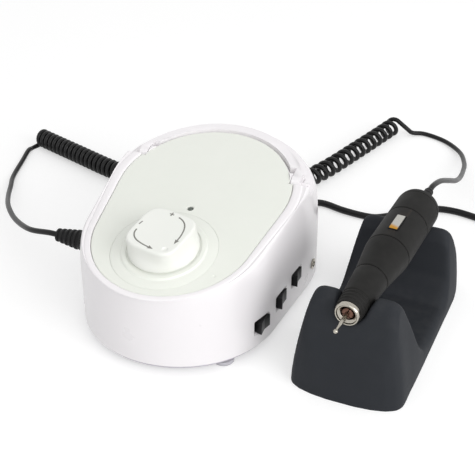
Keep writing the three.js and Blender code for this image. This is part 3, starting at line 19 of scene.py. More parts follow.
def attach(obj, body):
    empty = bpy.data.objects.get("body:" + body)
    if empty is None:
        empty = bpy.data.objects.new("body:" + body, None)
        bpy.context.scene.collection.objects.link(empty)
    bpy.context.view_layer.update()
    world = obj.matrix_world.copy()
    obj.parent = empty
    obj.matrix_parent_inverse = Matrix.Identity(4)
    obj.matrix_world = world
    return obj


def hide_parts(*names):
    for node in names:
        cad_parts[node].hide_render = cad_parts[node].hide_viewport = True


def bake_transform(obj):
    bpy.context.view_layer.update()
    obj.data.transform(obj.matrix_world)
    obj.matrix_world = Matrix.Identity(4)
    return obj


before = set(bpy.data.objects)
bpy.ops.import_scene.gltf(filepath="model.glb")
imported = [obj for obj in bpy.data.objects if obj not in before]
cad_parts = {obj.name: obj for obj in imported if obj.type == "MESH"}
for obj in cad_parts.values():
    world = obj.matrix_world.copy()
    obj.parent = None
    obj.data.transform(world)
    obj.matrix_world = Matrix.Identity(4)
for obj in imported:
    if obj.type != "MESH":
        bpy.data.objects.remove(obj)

Piece = bpy.types.Object
Tree = bpy.types.NodeTree
Socket = bpy.types.NodeSocket
Ring = Sequence[Sequence[float]]
Profile = list[tuple[float, ...]]
Table = tuple[tuple[float, ...], ...]

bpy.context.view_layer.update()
MILLI = 0.001
BOX_PLACE = Vector((-0.04502, -0.022863, 0.0))
TINY = 1e-6
MERGE = 1e-4
BEYOND = 80.0
log = logging.getLogger("nail_drill")


class Ends(Enum):
    """How a skin through rings is closed."""

    CAPPED = "capped"
    JOINED = "joined"


class Axis(Enum):
    """Axis that a profile is turned about."""

    X = (1.0, 0.0, 0.0)
    Y = (0.0, 1.0, 0.0)
    Z = (0.0, 0.0, 1.0)


class Cut(Enum):
    """What a second solid does to the first."""

    TAKE = "DIFFERENCE"
    ADD = "UNION"
    KEEP = "INTERSECT"


def deselect() -> None:
    """Leave edit mode and select nothing."""
    if bpy.context.mode != "OBJECT":
        bpy.ops.object.mode_set(mode="OBJECT")
    bpy.ops.object.select_all(action="DESELECT")


def hold(*pieces: Piece) -> None:
    """Select these pieces alone and make the first one active.

    Args:
        pieces: Mesh objects.
    """
    deselect()
    for piece in pieces:
        piece.select_set(True)
    bpy.context.view_layer.objects.active = pieces[0]


def pick(piece: Piece, layer: str, numbers: Sequence[int]) -> None:
    """Select vertices by a number that they carry, with the edges and faces between them.

    Args:
        piece: Mesh object in edit mode.
        layer: Layer that holds the number.
        numbers: Numbers that are picked.
    """
    bpy.ops.mesh.select_mode(type="VERT")
    bpy.ops.mesh.select_all(action="DESELECT")
    mesh = bmesh.from_edit_mesh(piece.data)
    mark = mesh.verts.layers.int[layer]
    for vertex in mesh.verts:
        if vertex[mark] in numbers:
            vertex.select = True
    mesh.select_flush(True)
    bmesh.update_edit_mesh(piece.data)


def begin_ring(name: str, ring: Ring) -> Piece:
    """Add a circle primitive and move its vertices to a ring's places.

    Args:
        name: Name of the new piece.
        ring: Places of the vertices, in order.

    Returns:
        The new object, left in edit mode with everything selected.
    """
    deselect()
    bpy.ops.mesh.primitive_circle_add(vertices=len(ring), radius=1.0)
    piece = bpy.context.object
    piece.name = piece.data.name = name
    bpy.ops.object.mode_set(mode="EDIT")
    mesh = bmesh.from_edit_mesh(piece.data)
    place = mesh.verts.layers.int.new("ring_place")
    level = mesh.verts.layers.int.new("ring_level")
    for i, vertex in enumerate(mesh.verts):
        vertex[place] = i
        vertex[level] = 0
        vertex.co = Vector(ring[i])
    bmesh.update_edit_mesh(piece.data)
    bpy.ops.mesh.select_all(action="SELECT")
    return piece


def end_edit(piece: Piece) -> Piece:
    """Merge doubles, turn the faces outwards and leave edit mode.

    Args:
        piece: Mesh object in edit mode.

    Returns:
        The same object.
    """
    bpy.ops.mesh.select_all(action="SELECT")
    bpy.ops.mesh.remove_doubles(threshold=MERGE)
    bpy.ops.mesh.normals_make_consistent(inside=False)
    deselect()
    for layer in ("ring_place", "ring_level"):
        if layer in piece.data.attributes:
            piece.data.attributes.remove(piece.data.attributes[layer])
    return piece


def loft(name: str, rings: Sequence[Ring], ends: Ends = Ends.CAPPED) -> Piece:
    """Extrude a ring from place to place and close the ends.

    Args:
        name: Name of the new piece.
        rings: Rings with the same number of places.
        ends: How the first and last ring are closed.

    Returns:
        The new mesh object.
    """
    piece = begin_ring(name, rings[0])
    for number, ring in enumerate(rings[1:], start=1):
        bpy.ops.mesh.extrude_region_move()
        mesh = bmesh.from_edit_mesh(piece.data)
        place = mesh.verts.layers.int["ring_place"]
        level = mesh.verts.layers.int["ring_level"]
        for vertex in mesh.verts:
            if vertex.select:
                vertex[level] = number
                vertex.co = Vector(ring[vertex[place]])
        bmesh.update_edit_mesh(piece.data)
    last = len(rings) - 1
    if ends is Ends.CAPPED:
        for number in (0, last):
            pick(piece, "ring_level", (number,))
            bpy.ops.mesh.edge_face_add()
    else:
        pick(piece, "ring_level", (0, last))
        bpy.ops.mesh.bridge_edge_loops()
    return end_edit(piece)


def rounded(points: Ring, fillet: float, steps: int = 3, closed: bool = False) -> Profile:
    """Round the corners of a flat line.

    Args:
        points: Corners (x, y), or (x, y, own fillet).
        fillet: Length cut from each side of a corner that has none of its own.
        steps: Spans in each rounding.
        closed: Whether the line runs back to its start.

    Returns:
        Points of the rounded line.
    """
    most_share = 0.45
    flat = [Vector(p[:2]) for p in points]
    count = len(flat)
    line: Profile = []
    for i, corner in enumerate(flat):
        own = points[i][2] if len(points[i]) > 2 else fillet
        before, after = flat[i - 1] - corner, flat[(i + 1) % count] - corner
        at_end = not closed and i in (0, count - 1)
        if own <= 0 or at_end or min(before.length, after.length) < TINY:
            line.append(tuple(corner))
            continue
        a = corner + before.normalized() * min(own, most_share * before.length)
        b = corner + after.normalized() * min(own, most_share * after.length)
        for t in (step / steps for step in range(steps + 1)):
            line.append(tuple(a * (1 - t) ** 2 + corner * (2 * t * (1 - t)) + b * t * t))
    return line


def turn(name: str, profile: Profile, axis: Axis = Axis.Y, facets: int = 64, closed: bool = False) -> Piece:
    """Spin a profile once round an axis.

    Args:
        name: Name of the new piece.
        profile: Pairs of radius and place along the axis.
        axis: Axis to turn about.
        facets: Steps of the spin.
        closed: Whether the profile runs back to its start, as on a ring.

    Returns:
        The new mesh object.
    """
    seat = {Axis.X: lambda r, a: (a, 0.0, r), Axis.Y: lambda r, a: (r, a, 0.0),
            Axis.Z: lambda r, a: (r, 0.0, a)}
    piece = begin_ring(name, [seat[axis](r, a) for r, a in profile])
    if not closed:
        pick(piece, "ring_place", (0, len(profile) - 1))
        if any(edge.select for edge in bmesh.from_edit_mesh(piece.data).edges):
            bpy.ops.mesh.delete(type="EDGE")
    bpy.ops.mesh.select_all(action="SELECT")
    bpy.ops.mesh.spin(steps=facets, angle=2 * math.pi, center=(0, 0, 0), axis=axis.value)
    return end_edit(piece)


def rod(name: str, radius: float, low: float, high: float, axis: Axis = Axis.X, facets: int = 32) -> Piece:
    """Round bar along an axis, for use as a cutter or a start."""
    return turn(name, [(0, low), (radius, low), (radius, high), (0, high)], axis, facets)


def prism(name: str, outline: Profile, low: float, high: float) -> Piece:
    """Flat outline stood up between two heights."""
    return loft(name, [[(x, y, z) for x, y in outline] for z in (low, high)])


def box(name: str, low: Sequence[float], high: Sequence[float]) -> Piece:
    """Block between two corners, for use as a cutter or a start."""
    outline = [(low[0], low[1]), (high[0], low[1]), (high[0], high[1]), (low[0], high[1])]
    return prism(name, outline, low[2], high[2])


def rectangle(half_x: float, half_y: float, corner: float, steps: int = 4) -> Profile:
    """Outline of a rectangle round the origin with rounded corners."""
    corners = [(-half_x, -half_y), (half_x, -half_y), (half_x, half_y), (-half_x, half_y)]
    return rounded(corners, corner, steps, True)


def moved(piece: Piece, place: Matrix) -> Piece:
    """Move a piece's mesh by a matrix.

    Args:
        piece: Mesh object at the origin.
        place: Matrix to apply.

    Returns:
        The same object.
    """
    piece.data.transform(place)
    piece.data.update()
    return piece


def at(x: float, y: float, z: float) -> Matrix:
    """Matrix that moves by three lengths."""
    return Matrix.Translation((x, y, z))


def turned(degrees: float, axis: str) -> Matrix:
    """Matrix that turns about an axis by degrees."""
    return Matrix.Rotation(math.radians(degrees), 4, axis)


def on_side(hand: int, near: float, far: float) -> list[float]:
    """Two places on the left (-1) or right (1) side, the lower one first."""
    return sorted((hand * near, hand * far))


def eased(t: float | np.ndarray) -> float | np.ndarray:
    """Smooth step from 0 to 1."""
    return t * t * (3 - 2 * t)


def applied(piece: Piece) -> Piece:
    """Apply every modifier of a piece, in order.

    Args:
        piece: Mesh object.

    Returns:
        The same object.
    """
    hold(piece)
    for modifier in list(piece.modifiers):
        bpy.ops.object.modifier_apply(modifier=modifier.name)
    return piece


def carve(piece: Piece, cutters: Sequence[Piece], cut: Cut = Cut.TAKE) -> Piece:
    """Combine a piece with others by boolean modifiers and remove these.

    Args:
        piece: Mesh object that is kept.
        cutters: Mesh objects that are used up.
        cut: What they do to it.

    Returns:
        The same object.
    """
    for cutter in cutters:
        modifier = piece.modifiers.new("carve", "BOOLEAN")
        modifier.operation = cut.value
        modifier.solver = "EXACT"
        modifier.object = cutter
        applied(piece)
        bpy.data.objects.remove(cutter)
    return piece


def soften(piece: Piece, width: float, segments: int = 3, angle: float = 35) -> Piece:
    """Round a piece's sharp edges with an applied bevel.

    Args:
        piece: Mesh object.
        width: Width of the rounding.
        segments: Spans across it.
        angle: Least angle, in degrees, of an edge that is rounded.

    Returns:
        The same object.
    """
    bevel = piece.modifiers.new("soften", "BEVEL")
    bevel.width = width
    bevel.segments = segments
    bevel.limit_method = "ANGLE"
    bevel.angle_limit = math.radians(angle)
    bevel.use_clamp_overlap = True
    return applied(piece)


def joined(name: str, pieces: Sequence[Piece]) -> Piece:
    """Join several pieces into the first one.

    Args:
        name: New name of that piece.
        pieces: Mesh objects.

    Returns:
        The first of them.
    """
    hold(*pieces)
    bpy.ops.object.join()
    pieces[0].name = pieces[0].data.name = name
    return pieces[0]


def linear(code: str) -> tuple[float, ...]:
    """Colour of a hexadecimal code in Blender's linear values, with alpha.

    Args:
        code: Six hexadecimal digits.

    Returns:
        Red, green, blue and alpha.
    """
    parts = [int(code[i:i + 2], 16) / 255 for i in (0, 2, 4)]
    values = [c / 12.92 if c <= 0.04045 else ((c + 0.055) / 1.055) ** 2.4 for c in parts]
    return (*values, 1.0)


class Graph:
    """Adds filled and linked nodes to one node tree."""

    def __init__(self, tree: Tree) -> None:
        """Work on a tree."""
        self.tree = tree

    def fill(self, node: bpy.types.Node, inputs: dict[str | int, object]) -> None:
        """Fill inputs of a node.

        Args:
            node: Node of the tree.
            inputs: Name or number of each input, with its value or the socket that feeds it.
        """
        for name, value in inputs.items():
            if isinstance(value, bpy.types.NodeSocket):
                self.tree.links.new(value, node.inputs[name])
            else:
                node.inputs[name].default_value = value

    def add(self, kind: str, inputs: dict[str | int, object], **settings: object) -> bpy.types.NodeOutputs:
        """Add a node with its settings and inputs.

        Args:
            kind: Type of the node, without its common start.
            inputs: What goes into it, as for fill.
            settings: Attributes that are set first.

        Returns:
            The node's outputs.
        """
        node = self.tree.nodes.new(f"ShaderNode{kind}")
        for name, value in settings.items():
            setattr(node, name, value)
        self.fill(node, inputs)
        return node.outputs

    def math(self, operation: str, *inputs: float | Socket, **settings: object) -> Socket:
        """Result of a math node."""
        return self.add("Math", dict(enumerate(inputs)), operation=operation, **settings)[0]

    def where(self, kind: str = "Object") -> Socket:
        """Coordinates of one kind."""
        return self.add("TexCoord", {})[kind]

    def mix(self, share: Socket, first: object, second: object) -> Socket:
        """Colour that runs from the first to the second with a share."""
        return self.add("Mix", {0: share, 6: first, 7: second}, data_type="RGBA")[2]

    def overlay(self, under: Socket, effect: Tree, amount: float, code: str) -> Socket:
        """Colour laid over another one where an effect's mask says."""
        mask = self.add("Group", {}, node_tree=effect)["Mask"]
        return self.mix(self.math("MULTIPLY", mask, amount, use_clamp=True), under, linear(code))

    def stripes(self, stretch: tuple[float, ...], bands: float) -> Socket:
        """Even stripes across a piece, from 0 to 1 across each."""
        place = self.add("Mapping", {"Vector": self.where(), "Scale": stretch})["Vector"]
        return self.add("TexWave", {"Vector": place, "Scale": bands, "Distortion": 0.4})["Fac"]

    def seen(self) -> Socket:
        """Share that is 1 for camera, glossy and transmission rays.

        Returns:
            The socket of that value.
        """
        ray = self.add("LightPath", {})
        direct = self.math("MAXIMUM", ray["Is Camera Ray"], ray["Is Glossy Ray"])
        return self.math("MAXIMUM", direct, ray["Is Transmission Ray"])


class Group(Graph):
    """Node group with number sockets."""

    def __init__(self, name: str, inputs: dict[str, float], outputs: Sequence[str]) -> None:
        """Make an empty group.

        Args:
            name: Name of the group.
            inputs: Input names with their usual values.
            outputs: Output names.
        """
        super().__init__(bpy.data.node_groups.new(name, "ShaderNodeTree"))
        sockets = self.tree.interface
        for label, value in inputs.items():
            sockets.new_socket(label, in_out="INPUT", socket_type="NodeSocketFloat").default_value = value
        for label in outputs:
            sockets.new_socket(label, in_out="OUTPUT", socket_type="NodeSocketFloat")
        self.given = self.tree.nodes.new("NodeGroupInput").outputs
        self.out = self.tree.nodes.new("NodeGroupOutput")

    def noise(self, scale: str, **inputs: float) -> Socket:
        """Noise on the piece's own coordinates, at the scale of one of the group's inputs."""
        return self.add("TexNoise", {"Vector": self.where(), "Scale": self.given[scale], **inputs})["Fac"]


@cache
def grain_group() -> Tree:
    """Moulded surface: a fine grain for the bump and slow blotches for the colour.

    Returns:
        The group, built once.
    """
    group = Group("moulded_grain", {"Grain Scale": 1400.0, "Blotch Scale": 30.0}, ("Grain", "Blotch"))
    cells = group.add("TexVoronoi", {"Vector": group.where(), "Scale": group.given["Grain Scale"]})
    fine = group.noise("Grain Scale", Detail=3.0)
    group.fill(group.out, {"Grain": group.math("MULTIPLY_ADD", cells["Distance"], 0.5, fine),
                           "Blotch": group.noise("Blotch Scale", Detail=5.0, Roughness=0.6)})
    return group.tree


@cache
def edge_highlight_group() -> Tree:
    """Mask of the convex edges, broken up by noise, where a lighter colour is painted on as an edge
    highlight.

    Returns:
        The group, built once.
    """
    flat = 0.52
    group = Group("painted_edge_highlight", {"Reach": 0.06, "Scale": 220.0}, ("Mask",))
    ramp = group.add("MapRange", {"Value": group.add("NewGeometry", {})["Pointiness"], "From Min": flat,
                                  "From Max": group.math("ADD", group.given["Reach"], flat)})
    group.fill(group.out, {"Mask": group.math("MULTIPLY", ramp["Result"], group.noise("Scale"))})
    return group.tree


@cache
def dust_group() -> Tree:
    """Mask of fine dust that settles on faces that look up.

    Returns:
        The group, built once.
    """
    group = Group("settled_dust", {"Scale": 160.0}, ("Mask",))
    facing = group.add("SeparateXYZ", {"Vector": group.where("Normal")})["Z"]
    upward = group.add("MapRange", {"Value": facing, "From Min": 0.2})
    patch = group.add("MapRange", {"Value": group.noise("Scale", Detail=6.0), "From Min": 0.42,
                                   "From Max": 0.75})
    group.fill(group.out, {"Mask": group.math("MULTIPLY", upward["Result"], patch["Result"])})
    return group.tree


@dataclass(frozen=True)
class Finish:
    """Plastic, rubber or metal with grain, blotches, painted highlights on convex edges and a little dust."""

    name: str
    slot: str
    colour: str
    tint: str
    roughness: float
    spread: float = 0.06
    grain_scale: float = 1400.0
    grain_depth: float = 0.02
    blotch_scale: float = 30.0
    metallic: float = 0.0
    coat: float = 0.0
    coat_roughness: float = 0.1
    specular: float = 0.5
    # Lighter colour painted on convex edges as a highlight, and its strength.
    highlight_colour: str = "ffffff"
    edge_highlight: float = 0.0
    dust: float = 0.0
    dust_colour: str = "b9b6b0"
    bump: float = 0.35

    def material(self) -> bpy.types.Material:
        """Procedural material of this finish, built the first time it is asked for.

        Returns:
            The material.
        """
        ready = bpy.data.materials.get(self.name)
        if ready is not None:
            return ready
        material = bpy.data.materials.new(self.name)
        material.use_nodes = True
        graph = Graph(material.node_tree)
        grain = graph.add("Group", {"Grain Scale": self.grain_scale, "Blotch Scale": self.blotch_scale},
                          node_tree=grain_group())
        colour = self.base_colour(graph, grain)
        # Painted highlight: the lighter colour laid on the convex edges.
        if self.edge_highlight > 0:
            colour = graph.overlay(colour, edge_highlight_group(), self.edge_highlight, self.highlight_colour)
        if self.dust > 0:
            colour = graph.overlay(colour, dust_group(), self.dust, self.dust_colour)
        rough = graph.add("MapRange", {"Value": grain["Blotch"], "From Min": 0.3, "From Max": 0.7,
                                       "To Min": max(self.roughness - self.spread, 0.02),
                                       "To Max": min(self.roughness + self.spread, 1.0)})
        bump = graph.add("Bump", {"Height": self.height(graph, grain), "Strength": self.bump,
                                  "Distance": self.grain_depth * MILLI})
        graph.fill(material.node_tree.nodes["Principled BSDF"], {
            "Base Color": colour, "Roughness": rough["Result"], "Normal": bump["Normal"],
            "Metallic": self.metallic, "Specular IOR Level": self.specular,
            "Coat Weight": self.coat, "Coat Roughness": self.coat_roughness})
        return material

    def base_colour(self, graph: Graph, grain: bpy.types.NodeOutputs) -> Socket:
        """Colour of the bare surface: the finish's colour drifting to its tint."""
        return graph.mix(grain["Blotch"], linear(self.colour), linear(self.tint))

    def height(self, graph: Graph, grain: bpy.types.NodeOutputs) -> Socket:
        """Height that feeds the bump."""
        return grain["Grain"]


@dataclass(frozen=True)
class StripedFinish(Finish):
    """Finish with fine even stripes, such as turned metal, laminations or wound wire."""

    stripe: str = "808080"
    bands: float = 300.0
    stretch: tuple[float, float, float] = (1.0, 1.0, 1.0)

    def base_colour(self, graph: Graph, grain: bpy.types.NodeOutputs) -> Socket:
        """Colour mixed with the stripe's colour across each stripe."""
        return graph.mix(graph.stripes(self.stretch, self.bands), linear(self.colour), linear(self.stripe))

    def height(self, graph: Graph, grain: bpy.types.NodeOutputs) -> Socket:
        """The stripes give the bump its height."""
        return graph.stripes(self.stretch, self.bands)


@dataclass(frozen=True)
class TwoToneFinish(Finish):
    """Finish that changes colour across a line, such as the plate's amber corner."""

    second: str = "c8872a"
    line_place: tuple[float, float, float] = (0.0, 0.0, 0.0)
    line_way: tuple[float, float, float] = (0.0, 1.0, 0.0)
    line_width: float = 0.0012

    def base_colour(self, graph: Graph, grain: bpy.types.NodeOutputs) -> Socket:
        """Second colour behind the line and the first one ahead of it.

        Args:
            graph: Graph of the material.
            grain: Outputs of the grain, not used here.

        Returns:
            Socket with the colour.
        """
        shift = graph.add("VectorMath", {0: graph.where(), 1: self.line_place}, operation="SUBTRACT")
        along = graph.add("VectorMath", {0: shift["Vector"], 1: self.line_way}, operation="DOT_PRODUCT")
        share = graph.add("MapRange", {"Value": along["Value"], "From Min": -self.line_width,
                                       "From Max": self.line_width})
        return graph.mix(share["Result"], linear(self.second), linear(self.colour))


@dataclass(frozen=True)
class CordFinish(Finish):
    """Soft jacket of a cord, with faint drawing lines along it from the cord's own UV map."""

    line_stretch: tuple[float, float, float] = (24.0, 6.0, 1.0)
    line_share: float = 0.6

    def height(self, graph: Graph, grain: bpy.types.NodeOutputs) -> Socket:
        """Lines along the cord on top of the grain.

        Args:
            graph: Graph of the material.
            grain: Outputs of the grain.

        Returns:
            Socket with the height.
        """
        place = graph.add("Mapping", {"Vector": graph.where("UV"), "Scale": self.line_stretch})
        lines = graph.add("TexNoise", {"Vector": place["Vector"], "Scale": 4.0})
        return graph.math("MULTIPLY_ADD", lines["Fac"], self.line_share, grain["Grain"])


# Lighter edge colours given below are painted highlights on convex edges.
GLOSS_WHITE = Finish("gloss_white_shell", "gloss_white", "f1eef0", "edeaec", 0.3, 0.04, coat=0.35,
                     grain_depth=0.006, edge_highlight=0.1, dust=0.01)
PEARL_PANEL = Finish("pearl_panel_deck", "pearl_panel", "e9ebe4", "e4e7df", 0.36, 0.04, coat=0.3,
                     grain_scale=2400.0, grain_depth=0.008, dust=0.02)
KNOB_SHELL = Finish("pearl_knob", "gloss_white", "edeee9", "e8eae4", 0.32, 0.03, coat=0.35, grain_depth=0.006)
PRINT_GREY = Finish("grey_print", "grey_plastic", "83827d", "777671", 0.55, 0.05, grain_scale=3000.0)
SOFT_BLACK = Finish("soft_black_grip", "soft_black", "1c1b1a", "161615", 0.6, 0.06, grain_scale=1900.0,
                    grain_depth=0.03, blotch_scale=45.0, specular=0.2, highlight_colour="4a3f37", edge_highlight=0.3, dust=0.01)
CRADLE_SLATE = Finish("slate_cradle", "cradle_slate", "2a2c31", "23262a", 0.7, 0.05, grain_scale=1500.0,
                      grain_depth=0.05, blotch_scale=16.0, specular=0.22, highlight_colour="44474d", edge_highlight=0.15, dust=0.02)
CORD_BLACK = CordFinish("black_cord_jacket", "cord_black", "0e0e0f", "0a0a0b", 0.34, 0.06,
                        grain_scale=1200.0, grain_depth=0.03, specular=0.28, dust=0.005)
BOOT_BLACK = Finish("black_boot", "cord_black", "141415", "0f0f10", 0.48, 0.05, grain_depth=0.03,
                    specular=0.25, dust=0.015)
SWITCH_BLACK = Finish("black_rocker", "switch_black", "101012", "0b0b0d", 0.4, 0.05, grain_depth=0.02,
                      specular=0.25, highlight_colour="3c3c40", edge_highlight=0.2)
# The tray's white is painted grey as the shade that falls under the housing's overhang.
TRAY_PAINTED_SHADE = Finish("white_tray_painted_shade", "gloss_white", "c4c0c9", "bcb8c1", 0.45, 0.05, grain_depth=0.02,
                    dust=0.08)
FOOT_RUBBER = Finish("pale_foot_rubber", "foot_rubber", "c2c0c6", "b4b2b9", 0.88, 0.05, grain_scale=900.0,
                     grain_depth=0.08, dust=0.15)
BRIGHT_STEEL = StripedFinish("bright_turned_steel", "bright_steel", "bfbab0", "aba69c", 0.22, 0.05,
                             metallic=1.0, grain_depth=0.004, stripe="a19c92", bands=420.0)
DARK_STEEL = StripedFinish("dark_laminated_steel", "dark_steel", "77726d", "66615c", 0.42, 0.08,
                           metallic=1.0, grain_depth=0.02, stripe="5c5752", bands=260.0)
COLLET_BRONZE = Finish("bronze_collet", "copper_winding", "7a5c4e", "57413a", 0.3, 0.08, metallic=1.0,
                       grain_depth=0.01, blotch_scale=300.0)
COPPER_WIRE = StripedFinish("copper_wire", "copper_winding", "b4703f", "8f5226", 0.4, 0.06, metallic=0.85,
                            grain_depth=0.12, stripe="6e3d1a", bands=330.0, stretch=(0.0, 0.0, 1.0))
BOARD_GREEN = StripedFinish("green_circuit_board", "board_green", "2f6b45", "255a39", 0.5, 0.08,
                            grain_depth=0.02, stripe="3f8157", bands=90.0, stretch=(1.0, 0.3, 0.0))
GREY_PLASTIC = Finish("grey_moulding", "grey_plastic", "3c3c3e", "333335", 0.5, 0.06, grain_depth=0.03,
                      highlight_colour="6a6a6e", edge_highlight=0.3)
LENS_CLEAR = Finish("smoked_lens", "lens_clear", "59625a", "3c443e", 0.12, 0.03, coat=0.5, grain_depth=0.002)
TIE_BLACK = StripedFinish("woven_tie", "soft_black", "262625", "1d1d1c", 0.8, 0.06, grain_depth=0.1,
                          stripe="343331", bands=600.0, stretch=(1.0, 0.0, 0.0))


def settle(piece: Piece, finish: Finish, body: str, nodes: Sequence[str] = (),
           place: Matrix = Matrix.Identity(4), angle: float = 32) -> Piece:
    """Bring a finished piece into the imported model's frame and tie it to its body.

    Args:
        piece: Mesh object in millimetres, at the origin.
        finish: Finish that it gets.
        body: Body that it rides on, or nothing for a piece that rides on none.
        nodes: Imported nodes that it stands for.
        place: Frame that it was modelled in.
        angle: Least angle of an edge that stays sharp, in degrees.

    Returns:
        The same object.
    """
    hold(piece)
    bpy.ops.object.shade_smooth_by_angle(angle=math.radians(angle))
    moved(piece, Matrix.Translation(BOX_PLACE) @ Matrix.Scale(MILLI, 4) @ place)
    piece.data.materials.clear()
    piece.data.materials.append(finish.material())
    if body:
        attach(piece, body)
    if nodes:
        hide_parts(*nodes)
    log.info("%s: %d faces on %s", piece.name, len(piece.data.polygons), body)
    return piece


@dataclass(frozen=True)
class Plan:
    """Outline seen from above: the hull of a front and a rear circle."""

    front_radius: float
    front_centre: float
    rear_radius: float
    rear_centre: float

    def towards(self, other: "Plan", share: float) -> "Plan":
        """Plan part of the way to another one."""
        return Plan(*(a + (b - a) * share for a, b in zip(astuple(self), astuple(other))))

    def side(self) -> float:
        """Angle at which the straight sides leave the circles."""
        return math.asin((self.front_radius - self.rear_radius) / (self.rear_centre - self.front_centre))

    def ring(self, inset: float, height: Callable[..., float], steps: int = 36,
             spans: int = 8) -> list[Vector]:
        """Places round the outline.

        Args:
            inset: How far it is drawn in.
            height: Height at each Y and X.
            steps: Spans on each circle.
            spans: Spans on each straight side.

        Returns:
            The ring, starting at the right rear.
        """
        side = self.side()
        flat: list[Vector] = []
        for centre, radius, start, end in (
                (self.rear_centre, self.rear_radius - inset, side, math.pi - side),
                (self.front_centre, self.front_radius - inset, math.pi - side, 2 * math.pi + side)):
            arc = [start + (end - start) * i / steps for i in range(steps + 1)]
            points = [Vector((radius * math.cos(a), centre + radius * math.sin(a))) for a in arc]
            if flat:
                flat += [flat[-1].lerp(points[0], k / spans) for k in range(1, spans)]
            flat += points
        flat += [flat[-1].lerp(flat[0], k / spans) for k in range(1, spans)]
        return [Vector((p.x, p.y, height(p.y, p.x))) for p in flat]


BODY_PLAN = Plan(62.5, -14.7, 66.0, 40.0)
RIM_PLAN = Plan(54.3, -24.2, 61.8, 18.4)
POCKET_PLAN = Plan(50.3, -24.2, 55.8, 18.4)
RIM_HEIGHT = 70.8
RIM_SLOPE = 0.22
TILT = math.atan(RIM_SLOPE)
DECK = at(0, 0, RIM_HEIGHT) @ Matrix.Rotation(TILT, 4, "X")
SEAM = 6.2
SHOULDER = 3.6
REAR_FALL = 0.9
FALL_FROM = 36.0
FALL_SPAN = 34.0
SWITCH_PLACES = ((-31.5, 19.5), (-7.9, 23.0), (14.9, 25.4))
JACK_PLACE = (42.0, 18.9)
PLUG_PLACE = (-24.4, 43.3)
GLAND_PLACE = (22.0, 17.0)


def deck(drop: float = 0.0) -> Callable[..., float]:
    """Height of the sloping rim at each Y, lowered by a drop."""
    return lambda y, x=0.0: RIM_HEIGHT + RIM_SLOPE * y - drop


def on_deck(y: float, x: float = 0.0, z: float = 0.0) -> Matrix:
    """Frame on the sloping deck, at a Y measured along it."""
    return DECK @ at(x, y, z)


def rear_fall(x: float, y: float) -> float:
    """How far the rear shoulder falls below the deck's slope outside the rim.

    Args:
        x: Place across the box.
        y: Place along the box.

    Returns:
        The fall, nothing in front of where it begins.
    """
    share = min(max((y - FALL_FROM) / FALL_SPAN, 0.0), 1.0)
    beyond = max(math.hypot(x, y - RIM_PLAN.rear_centre) - RIM_PLAN.rear_radius, 0.0)
    return REAR_FALL * eased(share) * beyond


def shoulder_rings(inset: float, drop: float, steps: int) -> list[Ring]:
    """Rings of the body from the seam up over its shoulder to the rim.

    Args:
        inset: How far the body is drawn in.
        drop: How far its top lies under the rim.
        steps: Spans from the seam to the rim.

    Returns:
        The rings, lowest first.
    """
    rings = []
    for step in range(steps + 1):
        angle = math.pi / 2 * step / steps
        rise = math.sin(angle) ** (2 / SHOULDER)
        lean = 1 - max(math.cos(angle), 0.0) ** (2 / SHOULDER)
        rings.append(BODY_PLAN.towards(RIM_PLAN, lean).ring(
            inset, lambda y, x, r=rise, top=deck(drop): SEAM + r * (top(y) - rear_fall(x, y) - SEAM)))
    return rings


def wall_at(y: float) -> tuple[float, float]:
    """Where the right wall stands at a Y, and the angle that it faces.

    Args:
        y: Place along the box.

    Returns:
        The wall's X and the angle, in radians, from +X.
    """
    side = BODY_PLAN.side()
    ends = [centre + radius * math.sin(side) for radius, centre in (
        (BODY_PLAN.front_radius, BODY_PLAN.front_centre), (BODY_PLAN.rear_radius, BODY_PLAN.rear_centre))]
    if ends[0] <= y <= ends[1]:
        share = (y - ends[0]) / (ends[1] - ends[0])
        radius = BODY_PLAN.front_radius + (BODY_PLAN.rear_radius - BODY_PLAN.front_radius) * share
        return radius * math.cos(side), side
    front = y < ends[0]
    radius = BODY_PLAN.front_radius if front else BODY_PLAN.rear_radius
    angle = math.asin((y - (BODY_PLAN.front_centre if front else BODY_PLAN.rear_centre)) / radius)
    return radius * math.cos(angle), angle


def wall_frame(y: float, z: float) -> Matrix:
    """Frame on the right wall: +X out of it, +Y along it and +Z up."""
    x, angle = wall_at(y)
    return at(x, y, z) @ Matrix.Rotation(angle, 4, "Z")


PLUG_MOUTH = Vector((-wall_at(PLUG_PLACE[0])[0], *PLUG_PLACE))
GLAND_MOUTH = Vector((GLAND_PLACE[0], BODY_PLAN.rear_centre
                      + math.sqrt(BODY_PLAN.rear_radius ** 2 - GLAND_PLACE[0] ** 2), GLAND_PLACE[1]))


def rear_sector(name: str, inner: float, outer: float, front: float, low: float, high: float,
                steps: int = 48) -> Piece:
    """Solid between two radii about the rim's rear centre, behind a Y.

    Args:
        name: Name of the new piece.
        inner: Inner radius.
        outer: Outer radius.
        front: Least Y.
        low: Drop of its floor under the rim.
        high: Drop of its top.
        steps: Spans on each arc.

    Returns:
        The new mesh object.
    """
    rings = []
    for drop in (low, high):
        ring = []
        for radius, forwards in ((outer, True), (inner, False)):
            start = math.asin((front - RIM_PLAN.rear_centre) / radius)
            for i in range(steps + 1):
                share = i / steps if forwards else 1 - i / steps
                angle = start + (math.pi - 2 * start) * share
                y = RIM_PLAN.rear_centre + radius * math.sin(angle)
                ring.append(Vector((radius * math.cos(angle), y, deck(drop)(y))))
        rings.append(ring)
    return loft(name, rings)


